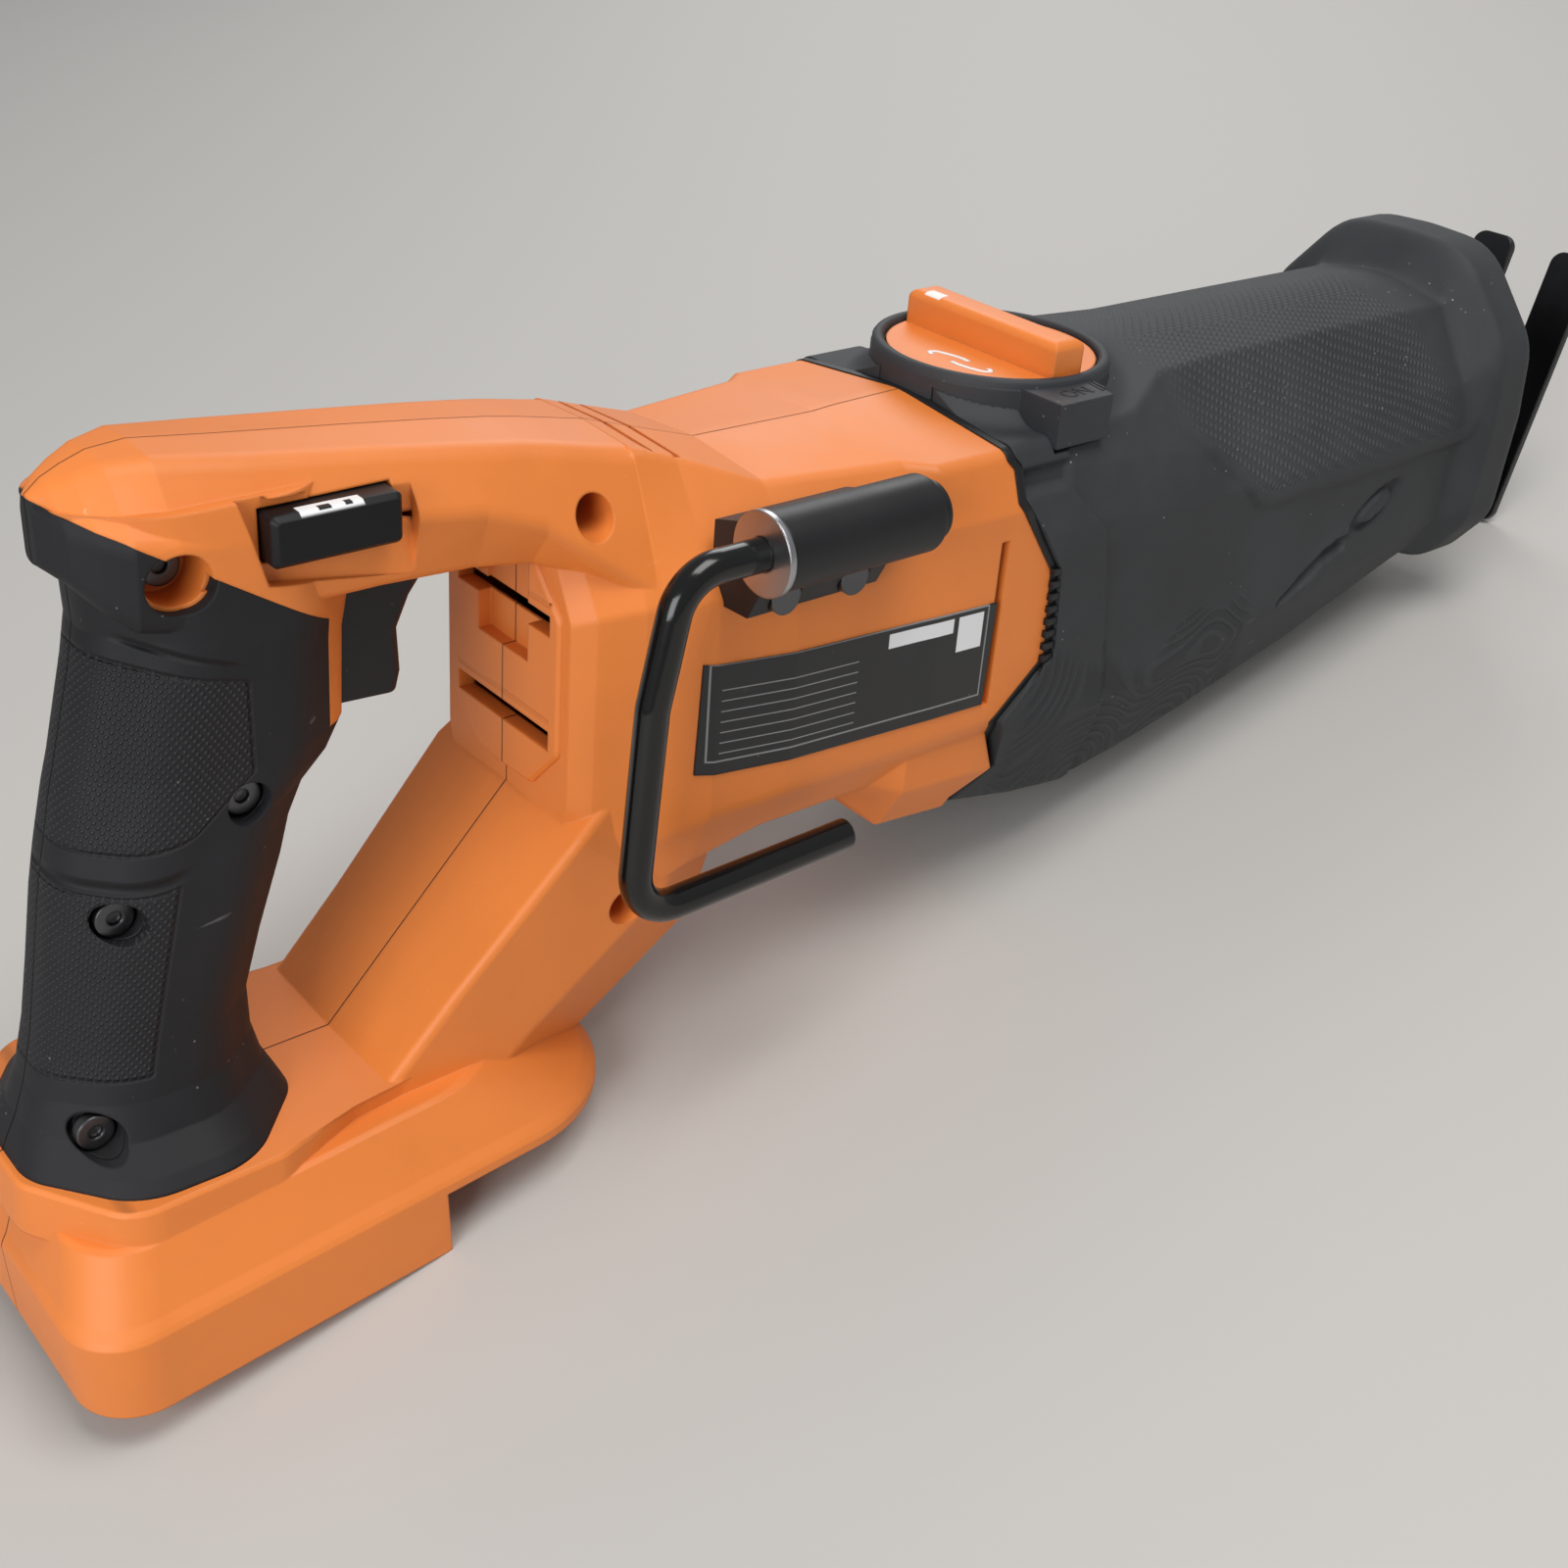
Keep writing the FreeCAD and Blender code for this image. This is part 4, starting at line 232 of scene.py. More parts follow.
class Effects:
    """Shader groups that several finishes share."""

    def __init__(self) -> None:
        """Build each group once."""
        self.grain = self._grain()
        self.wear = self._wear()
        self.dots = self._dots()

    @staticmethod
    def _group(name: str, inputs: dict[str, tuple[str, object]], outputs: tuple[str, ...]) -> tuple:
        """Make an empty group with named sockets.

        Args:
            name: Name of the group.
            inputs: Socket name to its type and start value.
            outputs: Names of the outputs, all plain values.

        Returns:
            The group, its bench, its input node and its output node.
        """
        tree = bpy.data.node_groups.new(name, "ShaderNodeTree")
        for label, (kind, value) in inputs.items():
            socket = tree.interface.new_socket(label, in_out="INPUT", socket_type=kind)
            if value is not None:
                socket.default_value = value
        for label in outputs:
            tree.interface.new_socket(label, in_out="OUTPUT", socket_type="NodeSocketFloat")
        bench = Bench(tree)
        return tree, bench, bench.add("NodeGroupInput"), bench.add("NodeGroupOutput")

    def _grain(self) -> bpy.types.NodeTree:
        """Fine spark-eroded grain: a small cell pattern roughened by noise."""
        tree, bench, entry, leave = self._group(
            "moulded_grain", {"Vector": ("NodeSocketVector", None), "Scale": ("NodeSocketFloat", 1800.0)},
            ("Height",))
        fine = bench.add("ShaderNodeTexNoise", {"Vector": entry.outputs[0], "Scale": entry.outputs[1],
                                                "Detail": 3.0, "Roughness": 0.62})
        wide = bench.add("ShaderNodeTexNoise", {"Vector": entry.outputs[0],
                                                "Scale": bench.maths("MULTIPLY", entry.outputs[1], 0.28),
                                                "Detail": 2.0})
        total = bench.maths("ADD", bench.maths("MULTIPLY", fine.outputs[0], 0.7),
                            bench.maths("MULTIPLY", wide.outputs[0], 0.5))
        tree.links.new(total, leave.inputs[0])
        return tree

    def _wear(self) -> bpy.types.NodeTree:
        """Broad blotches, thin scratches and dust specks."""
        tree, bench, entry, leave = self._group(
            "handling_wear", {"Vector": ("NodeSocketVector", None)}, ("Blotch", "Scratch", "Speck"))
        blotch = bench.add("ShaderNodeTexNoise", {"Vector": entry.outputs[0], "Scale": 22.0, "Detail": 5.0,
                                                  "Roughness": 0.6})
        stretch = bench.add("ShaderNodeMapping", {"Vector": entry.outputs[0], "Rotation": (0.3, 0.5, 0.9),
                                                  "Scale": (38.0, 420.0, 300.0)})
        lines = bench.add("ShaderNodeTexNoise", {"Vector": stretch.outputs[0], "Scale": 1.0, "Detail": 2.0})
        patch = bench.ramp(blotch.outputs[0], 0.52, 0.66)
        scratch = bench.maths("MULTIPLY", bench.ramp(lines.outputs[0], 0.71, 0.76), patch)
        cells = bench.add("ShaderNodeTexVoronoi", {"Vector": entry.outputs[0], "Scale": 330.0,
                                                   "Randomness": 1.0})
        small = bench.ramp(cells.outputs[0], 0.10, 0.04)
        spread = bench.add("ShaderNodeTexNoise", {"Vector": entry.outputs[0], "Scale": 60.0, "Detail": 3.0})
        speck = bench.maths("MULTIPLY", small, bench.ramp(spread.outputs[0], 0.52, 0.64))
        for index, socket in enumerate((blotch.outputs[0], scratch, speck)):
            tree.links.new(socket, leave.inputs[index])
        return tree

    def _dots(self) -> bpy.types.NodeTree:
        """Raised dots in staggered rows: the product of two slanted cosines of U and V."""
        tree, bench, entry, leave = self._group(
            "staggered_dots", {"U": ("NodeSocketFloat", 0.0), "V": ("NodeSocketFloat", 0.0),
                               "Pitch": ("NodeSocketFloat", 1.6)}, ("Height",))
        u, v, pitch = entry.outputs[:3]
        first = bench.maths("DIVIDE", bench.maths("ADD", u, v), pitch)
        second = bench.maths("DIVIDE", bench.maths("SUBTRACT", u, v), pitch)
        turn = 2.0 * math.pi
        waves = [bench.maths("COSINE", bench.maths("MULTIPLY", value, turn)) for value in (first, second)]
        height = bench.ramp(bench.maths("ADD", waves[0], waves[1]), -0.2, 1.9)
        tree.links.new(height, leave.inputs[0])
        return tree


@dataclass(frozen=True)
class Finish:
    """One surface finish and its values.

    Attributes:
        name: Name of the material.
        colour: Linear base colour.
        roughness: Roughness away from worn places.
        grain_scale: Scale of the moulded grain.
        grain_depth: Depth of the grain, in metres.
        blotch: Share of colour change from broad blotches.
        dust: Share of pale dust specks and scratches.
        dust_colour: Colour of the dust and the scratches.
        metallic: One for bare metal.
        coat: Weight of a clear coat.
        sheen: Weight of a soft sheen, as on rubber.
        edge: Radius of the soft highlight along edges, in millimetres.
        gloss: Level of the mirror-like reflection; 0.5 is a plain plastic.
    """

    name: str
    colour: Colour
    roughness: float = 0.5
    grain_scale: float = 1800.0
    grain_depth: float = 0.00002
    blotch: float = 0.15
    dust: float = 0.1
    dust_colour: Colour = (0.42, 0.41, 0.40)
    metallic: float = 0.0
    coat: float = 0.0
    sheen: float = 0.0
    edge: float = 0.7
    gloss: float = 0.5

    def start(self, effects: Effects) -> tuple:
        """Make the material with its grain, blotches and dust.

        Args:
            effects: Shared shader groups.

        Returns:
            The material, its bench, its shader and its Object coordinates.
        """
        material = bpy.data.materials.new(self.name)
        material.use_nodes = True
        material.node_tree.nodes.clear()
        bench = Bench(material.node_tree)
        spot = bench.add("ShaderNodeTexCoord").outputs["Object"]
        wear = bench.add("ShaderNodeGroup", node_tree=effects.wear)
        bench.tree.links.new(spot, wear.inputs[0])
        shade = bench.ramp(wear.outputs["Blotch"], 0.3, 0.7, 1.0 - self.blotch, 1.0 + self.blotch)
        tinted = bench.add("ShaderNodeVectorMath", {0: self.colour, "Scale": shade}, operation="SCALE")
        dust = bench.maths("MULTIPLY", bench.maths("MAXIMUM", wear.outputs["Scratch"], wear.outputs["Speck"]),
                           self.dust)
        colour = bench.mix(dust, tinted.outputs[0], self.dust_colour)
        roughness = bench.ramp(wear.outputs["Blotch"], 0.25, 0.75, self.roughness - 0.06,
                               self.roughness + 0.06)
        grain = bench.add("ShaderNodeGroup", node_tree=effects.grain)
        bench.tree.links.new(spot, grain.inputs[0])
        grain.inputs["Scale"].default_value = self.grain_scale
        soft_edge = bench.add("ShaderNodeBevel", {"Radius": self.edge / 1000.0}, samples=6)
        bump = bench.add("ShaderNodeBump", {"Height": grain.outputs[0], "Distance": self.grain_depth,
                                            "Strength": 1.0, "Normal": soft_edge.outputs[0]})
        shader = bench.add("ShaderNodeBsdfPrincipled", {"Base Color": colour, "Roughness": roughness,
                                                        "Normal": bump.outputs[0]})
        shader.inputs["Metallic"].default_value = self.metallic
        shader.inputs["Coat Weight"].default_value = self.coat
        shader.inputs["Coat Roughness"].default_value = 0.12
        shader.inputs["Sheen Weight"].default_value = self.sheen
        shader.inputs["Specular IOR Level"].default_value = self.gloss
        output = bench.add("ShaderNodeOutputMaterial")
        bench.tree.links.new(shader.outputs[0], output.inputs[0])
        return material, bench, shader, spot

    def build(self, effects: Effects, layout: Layout) -> bpy.types.Material:
        """Make the plain form of the finish and return its material."""
        return self.start(effects)[0]


@dataclass(frozen=True)
class HousingFinish(Finish):
    """Orange plastic with its parting line, black screw wells and the scuffs at the arm's rear tip.

    Attributes:
        wells: Places (x, z) of the screw wells that the grip's rubber lines.
    """

    wells: tuple = ((47.3, 110.8), (22.0, 92.5), (13.6, 48.1))

    def build(self, effects: Effects, layout: Layout) -> bpy.types.Material:
        """Add the parting line and the scuffs to the plain finish."""
        material, bench, shader, spot = self.start(effects)
        x, y, z = layout.tool_space(bench, spot)
        seam = bench.near(y, 0.13, 0.07)
        quiet = bench.ramp(z, 145.0, 150.0, 0.75, 0.25)
        bench.overlay(shader, bench.maths("MULTIPLY", seam, quiet), (0.16, 0.035, 0.006))
        for well_x, well_z in self.wells:
            reach = bench.maths("POWER", bench.maths("SUBTRACT", x, well_x), 2.0)
            reach = bench.maths("ADD", reach, bench.maths("POWER", bench.maths("SUBTRACT", z, well_z), 2.0))
            lined = bench.maths("MULTIPLY", bench.ramp(reach, 50.0, 62.0, 1.0, 0.0),
                                bench.ramp(bench.maths("ABSOLUTE", y), 5.0, 6.0))
            bench.overlay(shader, lined, (0.010, 0.010, 0.011))
        bench.emboss(shader, seam, -0.25)
        edge = bench.maths("ADD", z, bench.maths("MULTIPLY", bench.maths("SUBTRACT", x, 21.0), 0.42))
        rough = bench.add("ShaderNodeTexNoise", {"Vector": spot, "Scale": 420.0, "Detail": 4.0}).outputs[0]
        patches = bench.add("ShaderNodeTexNoise", {"Vector": spot, "Scale": 95.0, "Detail": 2.0}).outputs[0]
        line = bench.near(bench.maths("SUBTRACT", edge, 167.4), 0.5, 0.5)
        rubbed = bench.product(bench.band(x, 20.0, 35.0, 2.0), line, bench.ramp(rough, 0.46, 0.56),
                               bench.ramp(patches, 0.44, 0.54))
        tip = bench.product(bench.band(x, 24.0, 44.0, 5.0), bench.band(z, 168.0, 175.0, 1.2),
                            bench.ramp(rough, 0.64, 0.70), bench.ramp(patches, 0.58, 0.66))
        worn = bench.maths("MULTIPLY", bench.maths("MAXIMUM", rubbed, tip), 0.75)
        bench.overlay(shader, worn, (0.84, 0.50, 0.28))
        return material


@dataclass(frozen=True)
class GripFinish(Finish):
    """Grip rubber with two dotted panels, the smooth band between them and the crease above, with painted
    shade along the panel edges, in the band and in the crease, and a painted highlight on the dot tops.

    Attributes:
        pitch: Distance between dots, in millimetres.
        turn_radius: Radius at which the angle round the grip is read as a length, in millimetres.
    """

    pitch: float = 1.75
    turn_radius: float = 21.0

    def build(self, effects: Effects, layout: Layout) -> bpy.types.Material:
        """Add dots, sunken lines and the parting line to the plain finish, with painted shade in the band,
        the crease and along the panel edges, and a painted highlight on the dot tops.

        The panels' edges are curves of the height over the distance along the tool:
        lower edge = level + 0.012 * (x - 24)^2, and the front edge slopes below z = 117.
        """
        material, bench, shader, spot = self.start(effects)
        x, y, z = layout.tool_space(bench, spot)
        middle = bench.maths("MULTIPLY_ADD", z, 0.22, 16.0)
        angle = bench.maths("ARCTAN2", y, bench.maths("SUBTRACT", x, middle))
        around = bench.maths("MULTIPLY", angle, self.turn_radius)
        dish = bench.maths("MULTIPLY", bench.maths("POWER", bench.maths("SUBTRACT", x, 24.0), 2.0), 0.012)
        flat = bench.maths("SUBTRACT", z, dish)
        slope = bench.maths("MULTIPLY", bench.maths("MAXIMUM", bench.maths("SUBTRACT", 117.0, z), 0.0), 1.25)
        front = bench.maths("ADD", x, slope)
        lean = bench.maths("SUBTRACT", x, bench.maths("MULTIPLY", z, 0.22))
        crown = bench.maths("ADD", z, bench.maths("MULTIPLY", x, 0.26))
        upper = bench.product(bench.ramp(flat, 104.6, 106.0), bench.ramp(crown, 147.2, 148.6, 1.0, 0.0),
                              bench.ramp(front, 48.6, 50.0, 1.0, 0.0))
        lower = bench.product(bench.ramp(flat, 96.4, 97.8, 1.0, 0.0), bench.ramp(z, 58.8, 60.2),
                              bench.ramp(lean, 11.4, 12.8, 1.0, 0.0))
        dots = bench.add("ShaderNodeGroup", {"U": around, "V": z, "Pitch": self.pitch},
                         node_tree=effects.dots)
        panels = bench.maths("MAXIMUM", upper, lower)
        rim = bench.product(panels, bench.maths("SUBTRACT", 1.0, panels))
        rim = bench.maths("MULTIPLY", rim, 4.0)
        hollow = bench.near(bench.maths("SUBTRACT", flat, 98.9), 0.9, 0.8)
        hollow = bench.maths("MULTIPLY", hollow, bench.ramp(x, 32.0, 38.0, 1.0, 0.0))
        fold = bench.maths("SUBTRACT", bench.maths("ADD", z, bench.maths("MULTIPLY", x, 0.36)), 155.6)
        crease = bench.maths("MULTIPLY", bench.near(fold, 0.5, 0.6), bench.band(x, 31.0, 48.0, 3.0))
        seam = bench.near(y, 0.15, 0.08)
        # painted shade: the panel edges, the sunken band and the crease are darkened where shade falls in
        # them; the seam is the real dark parting line
        lines = bench.maths("MAXIMUM", bench.maths("MAXIMUM", bench.maths("MULTIPLY", rim, 0.6), hollow),
                            bench.maths("MAXIMUM", crease, seam))
        bench.overlay(shader, bench.maths("MULTIPLY", lines, 0.6), (0.006, 0.006, 0.007))
        bench.emboss(shader, bench.maths("MULTIPLY", dots.outputs[0], panels), 0.34)
        # painted highlight: the dot tops are lightened as if lit from above
        dot_highlight = bench.maths("MULTIPLY", bench.maths("MULTIPLY", dots.outputs[0], panels), 0.30)
        bench.overlay(shader, dot_highlight, (0.075, 0.075, 0.08))
        bench.emboss(shader, lines, -0.8)
        return material


@dataclass(frozen=True)
class BootFinish(Finish):
    """Boot rubber with dots and contour lines where the piece's mask map says, with a painted highlight on
    the dot tops and painted shade in the hollows between the lines.

    Attributes:
        dot_pitch: Distance between dots, in metres.
        cell_scale: Cells of the line pattern to the metre.
        line_pitch: Distance between lines, in metres.
    """

    dot_pitch: float = 0.0029
    cell_scale: float = 24.0
    line_pitch: float = 0.0021

    def build(self, effects: Effects, layout: Layout) -> bpy.types.Material:
        """Add dots on the upper panels and nested lines low on the sides to the plain finish, and paint a
        highlight on the dot tops and shade in the hollows between the lines.
        """
        material, bench, shader, spot = self.start(effects)
        skin = bench.add("ShaderNodeUVMap", uv_map="skin").outputs[0]
        mask = bench.add("ShaderNodeUVMap", uv_map="masks").outputs[0]
        along, around, _ = bench.add("ShaderNodeSeparateXYZ", {0: skin}).outputs
        dotted, lined, _ = bench.add("ShaderNodeSeparateXYZ", {0: mask}).outputs
        dots = bench.add("ShaderNodeGroup", {"U": along, "V": around, "Pitch": self.dot_pitch},
                         node_tree=effects.dots)
        bench.emboss(shader, bench.maths("MULTIPLY", dots.outputs[0], dotted), 0.32)
        # painted highlight: the dot tops are lightened as if lit from above
        dot_highlight = bench.product(dots.outputs[0], dotted)
        bench.overlay(shader, bench.maths("MULTIPLY", dot_highlight, 0.28), (0.115, 0.12, 0.13))
        cells = bench.add("ShaderNodeTexVoronoi",
                          {"Vector": spot, "Scale": self.cell_scale, "Smoothness": 0.35}, feature="SMOOTH_F1")
        turn = 2.0 * math.pi / (self.cell_scale * self.line_pitch)
        wave = bench.maths("COSINE", bench.maths("MULTIPLY", cells.outputs[0], turn))
        ribs = bench.maths("MULTIPLY", bench.ramp(wave, -0.6, 0.9), lined)
        bench.emboss(shader, ribs, 0.42)
        # painted shade: the hollows between the ribs are darkened
        groove_shade = bench.maths("SUBTRACT", lined, ribs)
        bench.overlay(shader, bench.maths("MULTIPLY", groove_shade, 0.35), (0.016, 0.017, 0.018))
        return material


@dataclass(frozen=True)
class DialFinish(Finish):
    """Orange plastic with the white mark on the orbit dial's grip."""

    def build(self, effects: Effects, layout: Layout) -> bpy.types.Material:
        """Add the white mark at the grip's far end to the plain finish."""
        material, bench, shader, spot = self.start(effects)
        x, y, z = layout.tool_space(bench, spot)
        white = bench.product(bench.band(x, 242.2, 245.2, 0.15), bench.band(y, 14.5, 19.5, 0.15),
                              bench.ramp(z, 167.5, 167.9))
        bench.overlay(shader, bench.maths("MULTIPLY", white, 0.92), (0.80, 0.78, 0.75))
        return material


@dataclass(frozen=True)
class ButtonFinish(Finish):
    """Black plastic with the white sign on the lock-off button."""

    def build(self, effects: Effects, layout: Layout) -> bpy.types.Material:
        """Add a white strip with a closed and an open shackle to the plain finish."""
        material, bench, shader, spot = self.start(effects)
        x, y, z = layout.tool_space(bench, spot)
        strip = bench.product(bench.band(x, 59.4, 71.4, 0.1), bench.band(y, -21.2, -18.0, 0.1),
                              bench.ramp(z, 164.2, 164.7))
        holes = []
        for low, high in ((63.0, 65.4), (68.0, 69.4)):
            block = bench.product(bench.band(x, low, high, 0.1), bench.band(y, -20.4, -19.0, 0.1))
            holes.append(block)
        dark = bench.maths("MAXIMUM", holes[0], holes[1])
        face = bench.maths("MULTIPLY", strip, bench.maths("SUBTRACT", 1.0, dark))
        bench.overlay(shader, face, (0.78, 0.78, 0.78))
        return material


@dataclass(frozen=True)
class PlateFinish(Finish):
    """Black rating plate with a thin border, plain rules and two blank light fields."""

    def build(self, effects: Effects, layout: Layout) -> bpy.types.Material:
        """Add the border, the rules and the fields to the plain finish.

        Heights are read along the plate's slope: w = z + 0.03 * (x - 137).
        """
        material, bench, shader, spot = self.start(effects)
        x, _, z = layout.tool_space(bench, spot)
        w = bench.maths("ADD", z, bench.maths("MULTIPLY", bench.maths("SUBTRACT", x, 137.0), 0.03))
        whole = bench.product(bench.band(x, 139.2, 213.0, 0.08), bench.band(w, 99.0, 121.4, 0.08))
        inner = bench.product(bench.band(x, 139.6, 212.6, 0.08), bench.band(w, 99.4, 121.0, 0.08))
        border = bench.maths("SUBTRACT", whole, inner)
        down = bench.maths("SUBTRACT", w, 101.0)
        wave = bench.maths("COSINE", bench.maths("MULTIPLY", down, 2.0 * math.pi / 2.4))
        rules = bench.product(bench.ramp(wave, 0.90, 0.97), bench.band(x, 142.0, 176.0, 0.1),
                              bench.band(w, 100.5, 117.0, 0.3))
        thin = bench.maths("MULTIPLY", bench.maths("MAXIMUM", border, rules), 0.45)
        bench.overlay(shader, thin, (0.5, 0.5, 0.5))
        first = bench.product(bench.band(x, 184.0, 202.5, 0.08), bench.band(w, 116.6, 120.0, 0.08))
        second = bench.product(bench.band(x, 204.0, 211.4, 0.08), bench.band(w, 111.6, 120.0, 0.08))
        bench.overlay(shader, bench.maths("MAXIMUM", first, second), (0.72, 0.72, 0.73))
        return material


ORANGE = HousingFinish("orange_plastic", (0.74, 0.205, 0.035), 0.50, 2300.0, 0.000016, 0.04, 0.10,
                       (0.9, 0.62, 0.4))
DIAL_ORANGE = DialFinish("dial_orange", (0.74, 0.205, 0.035), 0.46, 2300.0, 0.000016, 0.04, 0.10,
                         (0.9, 0.62, 0.4))
GRIP_RUBBER = GripFinish("black_grip_rubber", (0.014, 0.014, 0.016), 0.6, 1900.0, 0.00002, 0.18, 0.35,
                         gloss=0.26)
BOOT_RUBBER = BootFinish("grey_boot_rubber", (0.038, 0.040, 0.043), 0.64, 1700.0, 0.000022, 0.2, 0.8,
                         (0.40, 0.40, 0.39), gloss=0.3)
COLLAR_RUBBER = Finish("grey_collar_rubber", (0.036, 0.038, 0.042), 0.6, 1700.0, 0.000022, 0.16, 0.5,
                       (0.34, 0.34, 0.34), gloss=0.3)
MARK_RUBBER = Finish("mark_rubber", (0.016, 0.017, 0.02), 0.6, 1700.0, 0.000022, 0.16, 0.2)
LOCK_PLASTIC = ButtonFinish("lock_button_plastic", (0.006, 0.006, 0.007), 0.45, 2000.0, 0.00002, 0.12, 0.12,
                            gloss=0.25)
PLATE = PlateFinish("rating_plate", (0.012, 0.012, 0.013), 0.34, 2000.0, 0.000006, 0.10, 0.15)
BLACK_PLASTIC = Finish("black_plastic", (0.011, 0.011, 0.012), 0.42, 2000.0, 0.00002, 0.12, 0.2, gloss=0.35)
WIRE_PAINT = Finish("gloss_wire_paint", (0.005, 0.005, 0.005), 0.16, 500.0, 0.000006, 0.1, 0.08, coat=0.3,
                    gloss=0.3)
DARK_STEEL = Finish("dark_steel", (0.05, 0.05, 0.053), 0.36, 900.0, 0.00001, 0.2, 0.25, metallic=1.0)
BRIGHT_STEEL = Finish("bright_steel", (0.42, 0.42, 0.43), 0.30, 900.0, 0.000008, 0.15, 0.1, metallic=1.0)
SCREW_STEEL = Finish("screw_steel", (0.11, 0.11, 0.115), 0.34, 900.0, 0.000008, 0.2, 0.2, metallic=1.0)
CAST_ALLOY = Finish("cast_alloy", (0.45, 0.45, 0.46), 0.44, 1100.0, 0.00003, 0.12, 0.1, metallic=1.0)
CORE_IRON = Finish("core_iron", (0.30, 0.17, 0.09), 0.45, 1100.0, 0.00003, 0.3, 0.1, metallic=0.7)
BRONZE = Finish("bronze", (0.55, 0.36, 0.16), 0.4, 1100.0, 0.00002, 0.15, 0.1, metallic=1.0)
LENS = Finish("lamp_lens", (0.80, 0.83, 0.86), 0.12, 600.0, 0.000004, 0.03, 0.05, coat=0.5)
WHITE_MARK = Finish("white_mark", (0.82, 0.82, 0.80), 0.5, 2000.0, 0.000006, 0.05, 0.1, (0.5, 0.5, 0.5))


@dataclass
class Workshop:
    """Finishes and the layout that every sub-assembly shares."""

    layout: Layout
    effects: Effects
    made: dict[str, bpy.types.Material] = field(default_factory=dict)

    def finish(self, finish: Finish) -> bpy.types.Material:
        """Material of a finish, made on first use."""
        if finish.name not in self.made:
            self.made[finish.name] = finish.build(self.effects, self.layout)
        return self.made[finish.name]

    def dress(self, node: str, material: bpy.types.Material) -> None:
        """Give a carried-over node its material."""
        part = self.layout.frame["nodes"][node]
        part.data.materials.clear()
        part.data.materials.append(material)
        LOG.info("dressed %s in %s", node, material.name)

    def soften(self, node: str, body: str, material: bpy.types.Material, width: float = 0.5,
               segments: int = 2, angle: float = 28.0, flat: float = 0.6) -> bpy.types.Object:
        """Stand a copy with rounded edges in for a node.

        Args:
            node: Name of the node.
            body: Body that the copy rides on.
            material: Material of the copy.
            width: Width of the rounding, in millimetres; nought leaves the edges as they are.
            segments: Steps across the rounding.
            angle: Smallest angle that counts as an edge, in degrees.
            flat: Largest angle between faces that are joined, in degrees.

        Returns:
            The new piece.
        """
        source = self.layout.frame["nodes"][node]
        mesh = source.data.copy()
        mesh.materials.clear()
        mesh.materials.append(material)
        shape = bmesh.new()
        shape.from_mesh(mesh)
        bmesh.ops.remove_doubles(shape, verts=shape.verts, dist=1e-6)
        bmesh.ops.dissolve_limit(shape, angle_limit=math.radians(flat), verts=shape.verts, edges=shape.edges)
        shape.to_mesh(mesh)
        shape.free()
        piece = bpy.data.objects.new(f"{node}_finished", mesh)
        bpy.context.scene.collection.objects.link(piece)
        mesh.shade_smooth()
        mesh.set_sharp_from_angle(angle=math.radians(angle))
        if width:
            rounding = piece.modifiers.new("rounding", "BEVEL")
            rounding.width = width / 1000.0
            rounding.segments = segments
            rounding.limit_method = "ANGLE"
            rounding.angle_limit = math.radians(angle)
            rounding.harden_normals = True
            rounding.use_clamp_overlap = True
        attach(piece, body)
        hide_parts(node)
        self.layout.slot(node)
        LOG.info("softened %s", node)
        return piece

    def add(self, name: str, mesh: bpy.types.Mesh, body: str, finish: Finish, slot: str) -> bpy.types.Object:
        """Put a new piece in the scene.

        Args:
            name: Name of the piece.
            mesh: Its mesh, in the standing frame.
            body: Body that it rides on.
            finish: Its finish.
            slot: Its material slot in the record; not used.

        Returns:
            The new piece.
        """
        mesh.materials.clear()
        mesh.materials.append(self.finish(finish))
        piece = bpy.data.objects.new(name, mesh)
        bpy.context.scene.collection.objects.link(piece)
        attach(piece, body)
        LOG.info("added %s with %d faces", name, len(mesh.polygons))
        return piece

    def mesh(self, name: str, points: np.ndarray, faces: np.ndarray) -> bpy.types.Mesh:
        """Mesh from points in the tool's frame and an array of faces of one size."""
        mesh = bpy.data.meshes.new(name)
        mesh.from_pydata(self.layout.place(points).tolist(), [], faces.tolist())
        mesh.update()
        return mesh

    def block(self, name: str, outline: np.ndarray, low: float, high: float, finish: Finish,
              slot: str) -> None:
        """Put an upright prism over an outline on the housing.

        Args:
            name: Name of the piece.
            outline: Array of (x, y) corners, anticlockwise.
            low: Lower height.
            high: Upper height.
            finish: Its finish.
            slot: Its material slot in the record; passed to add, which does not use it.
        """
        self.add(name, self.prism_mesh(name, outline, low, high), "housing", finish, slot)

    def prism_mesh(self, name: str, outline: np.ndarray, low: float, high: float) -> bpy.types.Mesh:
        """Mesh of an upright prism over an outline in the tool's frame."""
        points, faces = prism(outline, low, high)
        mesh = bpy.data.meshes.new(name)
        mesh.from_pydata(self.layout.place(points).tolist(), [], faces)
        return mesh

    def carve(self, piece: bpy.types.Object, cutter: bpy.types.Object) -> None:
        """Take a cutter's volume out of a piece and drop the cutter."""
        tool = piece.modifiers.new("carve", "BOOLEAN")
        tool.operation = "DIFFERENCE"
        tool.solver = "MANIFOLD"
        tool.object = cutter
        graph = bpy.context.evaluated_depsgraph_get()
        carved = bpy.data.meshes.new_from_object(piece.evaluated_get(graph))
        piece.modifiers.clear()
        old = piece.data
        piece.data = carved
        bpy.data.meshes.remove(old)
        bpy.data.objects.remove(cutter)


# ------------------------------------------------------------------- boot


